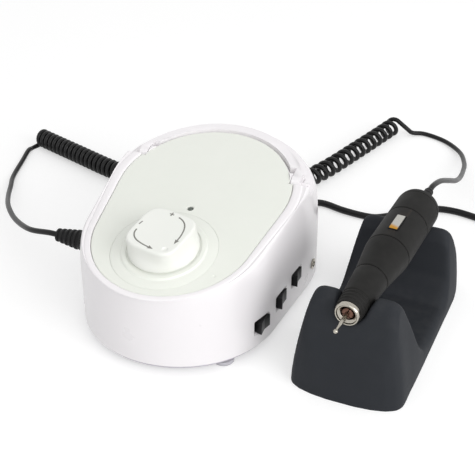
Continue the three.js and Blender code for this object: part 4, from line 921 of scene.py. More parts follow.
@dataclass
class ControlBox:
    """White control box: housing, tray, feet, pearl panel, status lens and carry handle."""

    wall: float = 2.6
    roof_drop: float = 8.8
    bead_width: float = 4.0
    ledge: float = 5.0
    pocket_depth: float = 3.6
    rebate_depth: float = 6.3
    rebate_front: float = 36.2
    rebate_top: float = -5.0
    bar: float = 6.0
    bar_edge: float = 0.7
    ear_radius: float = 6.0
    ear_x: float = 52.93
    ear_half: float = 2.8
    ear_gap: float = 0.4
    slot_height: float = 24.0
    pivot_y: float = 44.0
    pivot_z: float = 74.48
    pin_hole: float = 1.8
    hub_inner: float = 40.0
    hub_gap: float = 0.35
    hub_room: float = 1.9
    swing_room: float = 2.02
    aperture: tuple[float, float] = (14.0, 9.3)
    foot_places: Table = ((-42.5, -49.5), (42.5, -49.5), (-42.5, 78.0), (42.5, 78.0))
    foot_hole: float = 2.8
    panel_gap: float = 0.25
    panel_top: float = 0.8
    panel_thick: float = 2.5
    panel_edge: float = 0.7
    seat_radius: float = 32.35
    seat_depth: float = 1.2
    knob_y: float = -38.5
    lens_y: float = -1.8
    dimple_place: tuple[float, float] = (36.9, -50.6)
    bead_line: Table = ((0.0, 0.5), (0.55, 0.06), (1.2, 0.0), (3.0, 0.0), (3.85, 0.4), (4.0, 1.0))
    mouth_rings: Table = ((-12, 0, 0.6), (-2.4, 0, 0.6), (-1.5, 0.06, 0.7), (-0.7, 0.45, 1.0),
                          (0.0, 1.05, 1.4),
                          (1.6, 2.5, 2.0))
    jack_line: Table = ((0, -15), (3.2, -15), (3.2, -0.4), (3.7, 0.5), (0, 0.5))
    tray_line: Table = ((3.6, 2.9), (1.6, 4.0), (1.6, 5.9), (2.9, 5.9), (2.9, 9.9), (4.5, 9.9), (4.5, 5.9))
    foot_line: Table = ((0, 0.25), (3.4, 0.25, 0.3), (3.9, 0.0, 0.3), (6.0, 0.0, 0.6), (6.5, 0.7, 0.5),
                        (6.2, 2.6, 0.4), (2.5, 2.6, 0.1), (2.5, 4.4, 0.4), (0, 4.6))
    eye_line: Table = ((0, -15), (1.9, -15), (1.9, -1.3), (2.6, -0.6), (2.6, 5), (0, 5))
    dimple_line: Table = ((0, -1.15), (0.7, -1.05), (1.2, -0.7), (1.5, 1.0), (0, 1.0))
    lens_line: Table = ((0, -4.6), (2.8, -4.6, 0), (2.8, -3.6, 0.2), (1.6, -3.6, 0.2), (1.6, -1.3, 0.5),
                        (0.8, -0.75, 0.5), (0, -0.7))

    def build(self) -> None:
        """Build and dress every piece of the box."""
        self.housing()
        self.tray()
        self.feet()
        self.panel()
        self.lens()
        self.handle()

    def housing(self) -> None:
        """Shell in one skin: wall, shoulder, bead, ledge, roof and inner wall, with its openings."""
        rings = shoulder_rings(0.0, 0.0, 18)[:-1]
        bead = rounded([*self.bead_line, (self.bead_width, self.pocket_depth)], 0.5, 3)
        rings += [RIM_PLAN.towards(POCKET_PLAN, inset / self.bead_width).ring(0.0, deck(drop))
                  for inset, drop in bead]
        rings += [POCKET_PLAN.ring(self.ledge, deck(drop)) for drop in (self.pocket_depth, self.roof_drop)]
        rings += reversed(shoulder_rings(self.wall, self.roof_drop, 10))
        shell = loft("housing_shell", rings, Ends.JOINED)
        carve(shell, self.bosses(), Cut.ADD)
        carve(shell, self.openings())
        carve(shell, self.hubs(), Cut.ADD)
        settle(shell, GLOSS_WHITE, "console", ["upper_housing"], angle=28)

    def bosses(self) -> list[Piece]:
        """Blocks behind the ears and the switches that give their pockets walls.

        Returns:
            The blocks.
        """
        parts = []
        for hand in (-1, 1):
            xs = on_side(hand, 45.5, 61.2)
            parts.append(box("ear_block", (xs[0], 37.0, 66.5), (xs[1], 51.8, self.pivot_z)))
        for y, z in SWITCH_PLACES:
            parts.append(moved(box("switch_boss", (-6, -10, -7), (-1.3, 10, 7)), wall_frame(y, z)))
        return parts

    def slot(self, hand: int, gap: float, top: float) -> Piece:
        """Block that clears one ear.

        Args:
            hand: Side of the box.
            gap: Room on each side of the ear.
            top: Height of its top.

        Returns:
            The block.
        """
        xs = on_side(hand, self.ear_x - self.ear_half - gap, self.ear_x + self.ear_half + gap)
        rear = self.pivot_y + self.ear_radius + self.ear_gap
        return box("ear_slot", (xs[0], self.rebate_front, self.pivot_z), (xs[1], rear, top))

    def openings(self) -> list[Piece]:
        """Cutters of the handle's rebate and slots and of all the holes in the walls.

        Returns:
            The cutters.
        """
        parts = [rear_sector("rebate", RIM_PLAN.rear_radius - self.bar - self.ear_gap,
                             2 * BODY_PLAN.rear_radius,
                             self.rebate_front, self.rebate_depth, self.rebate_top)]
        half = self.ear_half + self.ear_gap
        for hand in (-1, 1):
            floor = rod("ear_floor", self.ear_radius + self.ear_gap,
                        *on_side(hand, self.ear_x - half, self.ear_x + half), facets=64)
            parts += [self.slot(hand, self.ear_gap, self.pivot_z + self.slot_height),
                      moved(floor, at(0, self.pivot_y, self.pivot_z))]
        parts += [moved(self.mouth(), wall_frame(y, z)) for y, z in SWITCH_PLACES]
        parts.append(moved(turn("jack_hole", self.jack_line, Axis.X, 32),
                           at(wall_at(JACK_PLACE[0])[0], *JACK_PLACE)))
        parts.append(moved(rod("plug_hole", 5.2, -20, 15, facets=40), Matrix.Translation(PLUG_MOUTH)))
        parts.append(moved(rod("gland_hole", 4.5, -15, 5, Axis.Y, 40), Matrix.Translation(GLAND_MOUTH)))
        return parts

    def hubs(self) -> list[Piece]:
        """Round hubs between the ears and the panel, clear of the handle's swing.

        Returns:
            The hubs.
        """
        parts = []
        for hand in (-1, 1):
            xs = on_side(hand, self.hub_inner, self.ear_x - self.ear_half - self.hub_gap)
            line = [(0, xs[0]), (self.ear_radius, xs[0]), (self.ear_radius, xs[1]), (0, xs[1])]
            hub = moved(turn("hub", rounded(line, 0.5, 2), Axis.X, 48), at(0, self.pivot_y, self.pivot_z))
            room = rear_sector("hub_room", RIM_PLAN.rear_radius - self.bar - self.hub_room, BEYOND,
                               self.rebate_front, 14.0, 0.0)
            parts.append(carve(hub, [room], Cut.KEEP))
        return parts

    def mouth(self) -> Piece:
        """Cutter of a switch opening, whose mouth flares out to a rounded lip.

        Returns:
            The cutter, along X.
        """
        rings = []
        for depth, grow, corner in self.mouth_rings:
            outline = rectangle(self.aperture[0] / 2 + grow, self.aperture[1] / 2 + grow, corner)
            rings.append([(depth, y, z) for y, z in outline])
        return loft("switch_mouth", rings)

    def tray(self) -> None:
        """Bottom tray with a soft lower edge and a locating lip, under the housing's seam; its white is
        painted grey as the shade under the housing.
        """
        tray = loft("bottom_tray_plate", [BODY_PLAN.ring(inset, lambda y, x, z=z: z)
                                          for inset, z in rounded(self.tray_line, 0.4, 3)])
        carve(tray, [moved(rod("foot_hole", self.foot_hole, 0, 12, Axis.Z), at(x, y, 0))
                     for x, y in self.foot_places])
        settle(tray, TRAY_PAINTED_SHADE, "console", ["bottom_tray"])

    def feet(self) -> None:
        """Four rubber feet with a rounded tread and a stem in the tray."""
        for number, (x, y) in enumerate(self.foot_places, start=1):
            foot = moved(turn(f"rubber_foot_{number}", rounded(self.foot_line, 0.3), Axis.Z, 40), at(x, y, 0))
            settle(foot, FOOT_RUBBER, "console", [f"foot_{number}"])

    def panel(self) -> None:
        """Pearl panel with a rounded edge, the dial's seat, the lens hole and a small dimple."""
        top, low = self.panel_top, self.panel_top + self.panel_thick
        line = rounded([(self.panel_gap, low), (self.panel_gap, top, self.panel_edge),
                        (self.panel_gap + 2.5, top)],
                       self.panel_edge, 4)
        panel = loft("pearl_panel_plate", [POCKET_PLAN.ring(inset, deck(drop))
                                           for inset, drop in [*line, (8.0, top), (20.0, top)]])
        knob, eye = on_deck(self.knob_y / math.cos(TILT)), on_deck(self.lens_y / math.cos(TILT))
        x, y = self.dimple_place
        seat = -self.panel_top * math.cos(TILT) - self.seat_depth
        cutters = [moved(rod("dial_seat", self.seat_radius, seat, 5, Axis.Z, 96), knob),
                   moved(rod("bush_hole", 4.9, -15, 5, Axis.Z), knob),
                   moved(turn("lens_hole", self.eye_line, Axis.Z, 32), eye),
                   moved(turn("panel_dimple", self.dimple_line, Axis.Z, 24), on_deck(y, x)),
                   *(self.slot(hand, self.ear_gap, 100) for hand in (-1, 1)),
                   rear_sector("swing_room", RIM_PLAN.rear_radius - self.bar - self.swing_room, BEYOND,
                               self.rebate_front, self.rebate_depth, self.rebate_top)]
        settle(carve(panel, cutters), PEARL_PANEL, "console", ["top_panel"], angle=28)

    def lens(self) -> None:
        """Small smoked lens, domed just under the panel's face."""
        lens = turn("smoked_status_lens", rounded(self.lens_line, 0.3), Axis.Z, 32)
        settle(lens, LENS_CLEAR, "console", ["status_lens"], on_deck(self.lens_y / math.cos(TILT)))

    def handle(self) -> None:
        """Bar round the rear of the rim with a round ear at each end, all edges softened."""
        outer, pivot = RIM_PLAN.rear_radius, at(0, self.pivot_y, self.pivot_z)
        bar = rear_sector("carry_handle_bar", outer - self.bar, outer, self.pivot_y, self.bar, 0.0, 56)
        ears, cutters = [], []
        for hand in (-1, 1):
            xs = on_side(hand, self.ear_x - self.ear_half, self.ear_x + self.ear_half)
            ears.append(moved(rod("ear", self.ear_radius, *xs, facets=40), pivot))
            cutters.append(moved(rod("pin_hole", self.pin_hole, xs[0] - 3, xs[1] + 3, facets=24), pivot))
        neck, rear = self.ear_x - self.ear_half, self.pivot_y + self.ear_radius + self.ear_gap
        cutters.append(box("neck", (-neck, self.rebate_front, self.pivot_z - self.ear_radius),
                           (neck, rear, self.pivot_z + self.slot_height)))
        carve(bar, ears, Cut.ADD)
        carve(bar, cutters)
        settle(soften(bar, self.bar_edge, 3, 40), GLOSS_WHITE, "handle", ["carry_handle"])


@dataclass
class SpeedControl:
    """Dial plate on the panel with the rounded square knob and its prints."""

    dial_top: float = -0.181
    dial_thick: float = 1.5
    dial_radius: float = 32.25
    knob_base: float = 1.119
    knob_place: float = -39.42
    foot_radius: float = 21.45
    height: float = 13.6
    top_half: float = 17.3
    square: float = 4.0
    spin_by: float = -10.0
    wall: float = 2.4
    facets: int = 96
    print_width: float = 0.85
    sign_width: float = 0.75
    sign_length: float = 3.0
    arrow_half: float = 1.35
    print_rise: float = 0.04
    dial_line: Table = ((28.6, 0, 2.0), (26.1, 0, 0.4), (25.3, 0.9, 0.4), (24.9, 1.0, 0.2), (22.6, 1.0, 0.1),
                        (22.4, 0.5, 0.1), (20.8, 0.5, 0.1), (20.4, 0.9, 0.1), (4.9, 0.9))
    square_shares: Table = ((0.0, 0.0), (0.12, 0.0), (0.3, 0.45), (0.55, 0.8), (0.9, 1.0), (1.0, 1.0))
    edge_line: Table = ((0.06, 1.0), (0.2, 0.62), (0.48, 0.3), (0.85, 0.1), (1.3, 0.0), (2.0, 0.0))
    dish_shares: Table = ((0.82, 0.05), (0.6, 0.13), (0.35, 0.2), (0.12, 0.23))
    dimple_line: Table = ((0, -0.75), (0.9, -0.62), (1.6, -0.3), (2.05, 0.15), (2.2, 1.5), (0, 1.5))
    dimple_place: tuple[float, float] = (9.0, -13.2)
    arrows: tuple[Table, Table] = (
        ((-14.0, -3.0), (-14.1, -5.6), (-12.9, -8.6), (-10.6, -10.9), (-7.2, -12.6), (-3.4, -13.9),
         (1.2, -15.0)),
        ((5.7, 13.1), (8.7, 11.5), (11.2, 8.9), (12.7, 5.2), (13.2, 1.2), (13.1, -2.6), (12.4, -7.0)))
    signs: tuple[Table, ...] = (((-14.1, 2.6), (0.35, 1.0)), ((0.6, 14.4), (1.0, -0.18)),
                                ((0.6, 14.4), (0.18, 1.0)))

    def build(self) -> None:
        """Build and dress the dial plate, the knob and its prints."""
        self.dial()
        self.knob()
        self.prints()

    def dial(self) -> None:
        """Dial plate that rises softly from the panel to a stepped collar."""
        top, low = self.dial_top, self.dial_top - self.dial_thick
        line = [(4.9, low), (self.dial_radius, low), (self.dial_radius, top - 0.56, 0.1)]
        line += [(r, top + rise, *fillet) for r, rise, *fillet in self.dial_line]
        dial = turn("dial_plate_ring", rounded(line, 0.15, 3, True), Axis.Z, self.facets, True)
        settle(dial, PEARL_PANEL, "console", ["dial_plate"], on_deck(self.knob_place))

    def radius(self, angle: float, share: float) -> float:
        """Radius of the knob between its round foot and its square top.

        Args:
            angle: Angle round the knob.
            share: How square the knob is, up to 1.

        Returns:
            The radius.
        """
        c, s = abs(math.cos(angle)), abs(math.sin(angle))
        side = self.top_half / (c ** self.square + s ** self.square) ** (1 / self.square)
        return self.foot_radius + (side - self.foot_radius) * share

    def ring(self, rise: float, radius: Callable[[float], float]) -> Ring:
        """Ring of the knob at a height, with a radius at each angle."""
        angles = [2 * math.pi * i / self.facets for i in range(self.facets)]
        return [Vector((radius(a) * math.cos(a), radius(a) * math.sin(a), rise)) for a in angles]

    def knob(self) -> None:
        """Hollow knob: round foot, rounded square top with a shallow dish and a finger dimple."""
        h, inner = self.height, self.top_half - self.wall
        rings = [self.ring(z, lambda a, r=r: r) for r, z in (
            (6.0, h - self.wall), (inner, h - self.wall), (inner, 0.3), (self.foot_radius - 0.6, 0.0))]
        rises = [0.03 + 0.87 * i / 13 for i in range(14)]
        square = np.interp([0.0, 0.0, *rises, 0.95, 1.0], *np.array(self.square_shares).T)
        rings += [self.ring(rise * h, lambda a, s=float(share): self.radius(a, s))
                  for rise, share in zip(rises, np.convolve(square, np.ones(5) / 5, "valid"))]
        rings += [self.ring(h - drop, lambda a, i=inset: self.radius(a, 1.0) - i)
                  for inset, drop in self.edge_line]
        rings += [self.ring(h - drop, lambda a, s=scale: self.radius(a, 1.0) * s)
                  for scale, drop in self.dish_shares]
        knob = loft("square_speed_knob", rings)
        spin = turned(self.spin_by, "Z")
        dimple = turn("dimple", self.dimple_line, Axis.Z, 32)
        carve(knob, [moved(dimple, spin.inverted() @ at(*self.dimple_place, h))])
        place = on_deck(self.knob_place) @ at(0, 0, self.knob_base) @ spin
        settle(knob, KNOB_SHELL, "speed_knob", ["knob"], place, 24)

    def prints(self) -> None:
        """Two curved arrows, a minus and a plus, as a thin film on the knob's top."""
        films = []
        for line in self.arrows:
            close = dense_curve(np.array([(x, y, 0.0) for x, y in line], float))
            points = [Vector(p[:2]) for p in even_points(close, 36)]
            films.append(self.film(self.strip(points[:-3], self.print_width)))
            tip, back = points[-1], points[-4]
            way = (tip - back).normalized()
            across = Vector((-way.y, way.x)) * self.arrow_half
            root = back - way * 0.6
            films.append(self.film([tip + way * 1.1, root + across, back, root - across]))
        for middle, way in self.signs:
            run = Vector(way).normalized() * self.sign_length / 2
            films.append(self.film(self.strip([Vector(middle) - run, Vector(middle) + run], self.sign_width)))
        settle(joined("knob_prints", films), PRINT_GREY, "speed_knob", (), on_deck(self.knob_place))

    def strip(self, line: Sequence[Vector], width: float) -> list[Vector]:
        """Outline of a stroke of one width along a flat line.

        Args:
            line: Places of the stroke's middle.
            width: Width of the stroke.

        Returns:
            Places round the stroke.
        """
        left, right = [], []
        for i, p in enumerate(line):
            way = (line[min(i + 1, len(line) - 1)] - line[max(i - 1, 0)]).normalized()
            across = Vector((-way.y, way.x)) * width / 2
            left.append(p + across)
            right.append(p - across)
        return left + right[::-1]

    def film(self, outline: Sequence[Vector]) -> Piece:
        """Thin plate on the knob's dished top with a flat outline.

        Args:
            outline: Places round the plate.

        Returns:
            The new mesh object.
        """
        top = self.knob_base + self.height
        scales, drops = zip(*self.dish_shares[::-1], (0.9, 0.0))
        high = [(p.x, p.y, top - float(np.interp(p.length / self.top_half, scales, drops)) + self.print_rise)
                for p in outline]
        return loft("film", [[(p.x, p.y, top - 0.3) for p in outline], high])


def dense_curve(points: np.ndarray, spans: int = 90) -> np.ndarray:
    """Close points of a centripetal Catmull-Rom curve.

    Args:
        points: Places that the curve passes, one row each.
        spans: Steps between two of them.

    Returns:
        Rows of close points.
    """
    full = np.vstack([2 * points[0] - points[1], points, 2 * points[-1] - points[-2]])
    knots = np.concatenate([[0.0], np.cumsum(np.sqrt(np.linalg.norm(np.diff(full, axis=0), axis=1)))])
    rows = []
    for i in range(1, len(full) - 2):
        t = np.linspace(knots[i], knots[i + 1], spans, endpoint=False)[:, None]
        k, level = knots[i - 1:i + 3], list(full[i - 1:i + 3])
        for step in (1, 2):
            level = [(k[j + step] - t) / (k[j + step] - k[j]) * level[j]
                     + (t - k[j]) / (k[j + step] - k[j]) * level[j + 1] for j in range(4 - step)]
        rows.append((k[2] - t) / (k[2] - k[1]) * level[0] + (t - k[1]) / (k[2] - k[1]) * level[1])
    return np.vstack([*rows, points[-1:]])


def run_along(points: np.ndarray) -> np.ndarray:
    """Length from the start to each point of a line."""
    return np.concatenate([[0.0], np.cumsum(np.linalg.norm(np.diff(points, axis=0), axis=1))])


def even_points(line: np.ndarray, count: int) -> np.ndarray:
    """Points of a line at even steps along its length.

    Args:
        line: Rows of close points.
        count: Number of points wanted.

    Returns:
        Rows of the even points.
    """
    along = run_along(line)
    wanted = np.linspace(0.0, along[-1], count)
    return np.column_stack([np.interp(wanted, along, line[:, k]) for k in range(3)])


def unit_rows(rows: np.ndarray) -> np.ndarray:
    """Rows scaled to a length of 1."""
    return rows / np.linalg.norm(rows, axis=1)[:, None]


def tube(name: str, points: np.ndarray, radius: float, sides: int) -> Piece:
    """Closed tube through close points, with a UV map round it and along it in metres.

    Args:
        name: Name of the new piece.
        points: Places of the centre line.
        radius: Radius of the tube.
        sides: Places round it.

    Returns:
        The new mesh object.
    """
    across = np.array([0.0, 0.0, 1.0])
    angles = 2 * np.pi * np.arange(sides) / sides
    rows = []
    for place, way in zip(points, unit_rows(np.gradient(points, axis=0))):
        across = across - way * across.dot(way)
        across /= np.linalg.norm(across)
        third = np.cross(way, across)
        rows.append(place + radius * (np.cos(angles)[:, None] * across + np.sin(angles)[:, None] * third))
    count = len(points)
    verts = np.vstack([*rows, points[:1], points[-1:]])
    along = run_along(points) * MILLI
    faces, uvs = [], []
    for i in range(count - 1):
        for j in range(sides):
            k = (j + 1) % sides
            faces.append((i * sides + j, i * sides + k, (i + 1) * sides + k, (i + 1) * sides + j))
            uvs += [((j + a) / sides, along[i + b]) for a, b in ((0, 0), (1, 0), (1, 1), (0, 1))]
    for end, ring, way in ((0, 0, -1), (1, count - 1, 1)):
        for j in range(sides):
            pair = (j, (j + 1) % sides)[::way]
            faces.append((count * sides + end, *(ring * sides + k for k in pair)))
            uvs += [(0.5, along[ring]), *((k / sides, along[ring]) for k in pair)]
    mesh = bpy.data.meshes.new(name)
    mesh.from_pydata(verts.tolist(), [], faces)
    mesh.uv_layers.new(name="UVMap").data.foreach_set("uv", np.array(uvs, float).ravel())
    piece = bpy.data.objects.new(name, mesh)
    bpy.context.scene.collection.objects.link(piece)
    return piece


def lead_points(start: Vector, start_way: Vector, middle: Ring, end: Vector, end_way: Vector,
                radius: float) -> np.ndarray:
    """Route of a lead that meets both its ends square.

    Args:
        start: Place that it leaves.
        start_way: Direction that it leaves in.
        middle: Places between.
        end: Place that it comes to.
        end_way: Direction that it comes in.
        radius: Radius of the lead.

    Returns:
        Close points of the route.
    """
    gap, step = 0.3, 2.2
    first, last = start + start_way * gap, end - end_way * gap
    rows = [first, first + start_way * 3 * radius, *map(Vector, middle), last - end_way * 3 * radius, last]
    line = dense_curve(np.array(rows, float))
    return even_points(line, max(int(run_along(line)[-1] / step), 8))


def ribs(starts: Sequence[float], radii: Sequence[float], shape: Table) -> Profile:
    """Corners of ribs along a profile.

    Args:
        starts: Place of each rib.
        radii: Radius of each rib.
        shape: Corners of one rib: radius added, place added and fillet.

    Returns:
        Corners for rounding.
    """
    return [(r + out, a + on, fillet) for a, r in zip(starts, radii) for out, on, fillet in shape]


HANDPIECE_NOSE = Vector((117.0, -53.9, 58.0))
HANDPIECE_TAIL = Vector((128.0, 82.0, 64.5))
HANDPIECE_RUN = HANDPIECE_TAIL - HANDPIECE_NOSE
HANDPIECE = (Matrix.Translation(HANDPIECE_NOSE)
             @ Matrix.Rotation(-math.atan2(HANDPIECE_RUN.x, HANDPIECE_RUN.y), 4, "Z")
             @ Matrix.Rotation(math.asin(HANDPIECE_RUN.z / HANDPIECE_RUN.length), 4, "X"))
HANDPIECE_LENGTH = 139.3


@dataclass
class HandpieceCord:
    """Plug boot at the left wall and the cord from it, curled behind the box, to the handpiece."""

    radius: float = 1.85
    curl_radius: float = 5.7
    curl_height: float = 7.85
    curl_turns: float = 59.625
    start_pitch: float = 4.65
    end_pitch: float = 8.0
    even_share: float = 0.24
    open_share: float = 0.7
    steps_per_turn: int = 20
    plug_length: float = 21.0
    rib_count: int = 5
    first_neck: float = 5.6
    last_neck: float = 3.6
    boot_line: Table = ((0, -16), (4.6, -16, 0.5), (4.6, 0.6, 0), (6.4, 0.6, 0.4), (6.4, 3.4, 0.6))
    rib_shares: Table = ((0.2, 0, 0.2), (0.5, 0, 0.2), (0.62, 0.8, 0.3), (1.0, 0.75, 0.3))
    blend_start: tuple[float, float, float] = (0.07298, 0, 0.002)
    blend_end: tuple[float, float, float] = (0.08598, 0, 0.037)
    axis: Table = ((-208.6, 148), (-166, 134.2), (-124, 121), (-85, 113.5), (-50, 112.5),
                   (-20, 122), (5, 143), (24, 179), (41, 232), (56, 284))
    plug_lead: Table = (
        (-104, -21, 39.5), (-114.2, -15.1, 36), (-135.3, 2.4, 28), (-158.7, 27.7, 19), (-174, 49, 12),
        (-187, 70.6, 6.4), (-197.5, 89, 3), (-206.1, 114.9, 2.3), (-211.8, 134, 2.3))
    grip_lead: Table = (
        (71, 284.5, 3.4), (80, 288.5, 2.3), (98.7, 282.3, 2.3), (115.1, 265.7, 3.5), (125, 237, 9),
        (129, 210, 16.2), (131.6, 182, 25.5), (132.8, 155, 37), (132.2, 130, 49.8), (130.2, 108, 60.2))

    def build(self) -> None:
        """Build and dress the boot and the cord."""
        self.boot()
        self.cord()

    def boot(self) -> None:
        """Ribbed boot with a flared foot, tapering towards the cord."""
        length, count = self.plug_length, self.rib_count
        pitch = length * 5 / 6 / count
        line = [*self.boot_line,
                *ribs([length / 6 + pitch * i for i in range(count)],
                      [self.first_neck + (self.last_neck - self.first_neck) * i / (count - 1)
                       for i in range(count)],
                      tuple((out, pitch * share, fillet) for share, out, fillet in self.rib_shares)),
                (3.4, length, 0.3), (0, length)]
        boot = turn("console_plug_boot", [(r, -a) for r, a in rounded(line, 0.2, 2)], Axis.X, 44)
        settle(boot, BOOT_BLACK, "console", ["console_plug"], Matrix.Translation(PLUG_MOUTH), 40)

    def curls(self) -> np.ndarray:
        """Route of the curled stretch, with a straight run of one diameter at each end.

        Returns:
            Rows of close points.
        """
        axis = dense_curve(np.array([(x, y, self.curl_height) for x, y in self.axis], float), 160)
        along = run_along(axis)
        shares = np.linspace(0.0, 1.0, 4001)
        mid = (shares[:-1] + shares[1:]) / 2
        t = np.clip((mid - self.even_share) / (self.open_share - self.even_share), 0, 1)
        pitch = self.start_pitch + (self.end_pitch - self.start_pitch) * eased(t)
        turns = np.concatenate([[0.0], np.cumsum(1 / pitch)])
        turns *= self.curl_turns / turns[-1]
        wanted = np.linspace(0.0, self.curl_turns, round(self.curl_turns * self.steps_per_turn) + 1)
        reached = np.interp(wanted, turns, shares) * along[-1]
        centre = np.column_stack([np.interp(reached, along, axis[:, k]) for k in range(3)])
        way = unit_rows(np.gradient(centre, axis=0))
        up = np.array([0.0, 0.0, 1.0])
        phase = (np.pi + 2 * np.pi * wanted)[:, None]
        path = centre + self.curl_radius * (up * np.cos(phase) + np.cross(way, up) * np.sin(phase))
        ends = unit_rows(np.array([path[0] - path[1], path[-1] - path[-2]])) * 2 * self.radius
        return np.vstack([path[0] + ends[0], path, path[-1] + ends[1]])

    def cord(self) -> None:
        """The whole cord in one tube, from the box to the handpiece."""
        curls = self.curls()
        curl_in = Vector(curls[1] - curls[0]).normalized()
        curl_out = Vector(curls[-1] - curls[-2]).normalized()
        start = PLUG_MOUTH - Vector((self.plug_length, 0, 0))
        tail = HANDPIECE @ Vector((0, HANDPIECE_LENGTH, 0))
        first = lead_points(start, Vector((-1, 0, 0)), self.plug_lead, Vector(curls[0]), curl_in, self.radius)
        second = lead_points(Vector(curls[-1]), curl_out, self.grip_lead, tail, -HANDPIECE_RUN.normalized(),
                             self.radius)
        path = np.vstack([first, curls, second])
        cord = tube("handpiece_cord", path, self.radius, 12)
        settle(cord, CORD_BLACK, "", ["plug_lead", "curly_cord", "grip_lead"], angle=60)
        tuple(self.blend_start)
        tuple(self.blend_end)
        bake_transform(cord)


@dataclass
class MainsCord:
    """Mains lead from its relief to the neat coil behind, with its tie and its plug."""

    radius: float = 2.5
    relief_length: float = 22.0
    relief_radius: float = 4.2
    relief_tip: float = 2.85
    relief_front: float = 0.4
    rib_count: int = 8
    coil_centre: tuple[float, float] = (206.0, 190.0)
    coil_radius: float = 31.7
    turns: int = 7
    layers: int = 4
    step: float = 5.45
    base: float = 4.35
    climb_half: float = 0.25
    steps_per_turn: int = 40
    plug_half: float = 18.0
    pin_apart: float = 9.5
    tie_gap: float = 0.35
    groove_radius: float = 1.0
    groove_out: float = 11.6
    groove_slope: float = 0.32
    groove_stand: float = 0.35
    lead_in: float = 5.0
    relief_line: Table = ((0, -8.3), (6, -8.3, 0.3), (6, -6.3, 0.3), (4.2, -6.3, 0.1), (4.2, 0.4, 0))
    rib_shares: Table = ((0.12, -0.45, 0.15), (0.4, -0.45, 0.15), (0.52, 0, 0.2), (0.95, -0.05, 0.2))
    fall: Table = ((0, 0), (12, -1), (25, -6.5))
    rest: Table = ((38, 9.0), (48, 7.8), (56, 7.8))
    plug_sections: Table = (
        (-18.0, 3.3, 3.6), (-15.5, 3.9, 4.1), (-14.8, 5.6, 5.4), (-11, 8.2, 6.3), (-5, 11.2, 7.0),
        (3, 12.6, 7.4), (12, 13.0, 7.5), (15.6, 12.9, 7.4), (17.2, 12.2, 6.7), (17.9, 11.0, 5.6))
    groove_places: tuple[float, ...] = (-9.0, -5.6, -2.2)
    pin_line: Table = ((0, 14), (2.0, 14, 0), (2.0, 36.0, 1.2), (0, 37))
    tie_rings: Table = ((-3, 0.15), (-3, 0.75), (-2.6, 1.15), (0, 1.2), (2.6, 1.15), (3, 0.75), (3, 0.15),
                        (2.6, 0.0), (0, 0.0), (-2.6, 0.0))
    route: Table = (
        (23.5, 133, 8), (30, 141.5, 3.2), (39.3, 144.3, 2.8), (56.3, 140.4, 2.8), (72.2, 138.8, 2.8),
        (80.9, 139.8, 2.8), (88.4, 144.7, 2.8), (103, 158, 2.8), (119.1, 169, 2.8), (133.2, 170.9, 2.8),
        (148.4, 168.2, 2.8), (168, 162.5, 3))

    def build(self) -> None:
        """Build and dress the relief, the coil, the tie and the plug."""
        self.relief()
        coil = self.coil()
        pieces = [*self.plug(coil[-1]), self.tie()]
        self.cord(coil, pieces)

    def relief(self) -> None:
        """Ribbed strain relief with its flange inside the wall."""
        length, count = self.relief_length, self.rib_count
        starts = [self.relief_front + i * (length - self.relief_front - 0.5) / count for i in range(count)]
        radii = [self.relief_radius - 0.05 - (self.relief_radius - self.relief_tip) * i / count
                 for i in range(count)]
        shape = tuple((out, length / count * share, fillet) for share, out, fillet in self.rib_shares)
        line = [*self.relief_line, *ribs(starts, radii, shape), (2.55, length, 0.1), (0, length)]
        relief = turn("mains_relief_sleeve", rounded(line, 0.2, 2), Axis.Y, 40)
        settle(relief, BOOT_BLACK, "console", ["mains_relief"], Matrix.Translation(GLAND_MOUTH), 40)

    def coil(self) -> np.ndarray:
        """Route of the coil, spiralling in and out a layer at a time, and of its tail to the plug.

        Returns:
            Rows of close points.
        """
        turn_at = np.linspace(0.0, self.turns, self.turns * self.steps_per_turn + 1)
        per_layer = self.turns / self.layers
        layer = np.minimum(np.floor(turn_at / per_layer), self.layers - 1)
        within = turn_at / per_layer - layer
        radius = self.coil_radius - np.where(layer % 2 == 0, within, 1 - within) * per_layer * self.step
        climb = np.zeros_like(turn_at)
        for edge in range(1, self.layers):
            share = (turn_at - edge * per_layer + self.climb_half) / (2 * self.climb_half)
            climb += eased(np.clip(share, 0, 1))
        angle = -np.pi / 2 + 2 * np.pi * turn_at
        loops = np.column_stack([self.coil_centre[0] + radius * np.cos(angle),
                                 self.coil_centre[1] + radius * np.sin(angle), self.base + climb * self.step])
        x, y, z = loops[-1]
        tail = [(x + on, y, z + down) for on, down in self.fall]
        tail += [(x + on, y, high) for on, high in self.rest]
        return np.vstack([loops[:1] - [(self.lead_in, 0, 0)], loops,
                          even_points(dense_curve(np.array(tail, float)), 24)[1:]])

    def plug(self, end: np.ndarray) -> list[Piece]:
        """Two-pin plug with a waisted, ribbed body and round pins.

        Args:
            end: Where the lead ends.

        Returns:
            The body and the pins.
        """
        rings = [[(x, y, z) for y, z in rectangle(half_y, half_z, min(half_y, half_z) * 0.8, 6)]
                 for x, half_y, half_z in self.plug_sections]
        body = loft("mains_plug_body", rings)
        grooves = []
        for x in self.groove_places:
            for side in (-1, 1):
                lean = self.groove_out + self.groove_slope * x
                groove = rod("groove", self.groove_radius, -20, 20, Axis.Z, 16)
                grooves.append(moved(groove, at(x, side * (lean + self.groove_stand), 0)))
        carve(body, grooves)
        pins = [moved(turn("pin", rounded(self.pin_line, 0.2, 5), Axis.X, 28),
                      at(0, side * self.pin_apart, 0))
                for side in (-1, 1)]
        place = at(end[0] + 0.3 + self.plug_half, end[1], end[2])
        return [settle(body, GREY_PLASTIC, "console", ["mains_plug"], place, 40),
                settle(joined("mains_plug_pins", pins), BRIGHT_STEEL, "console", (), place, 40)]

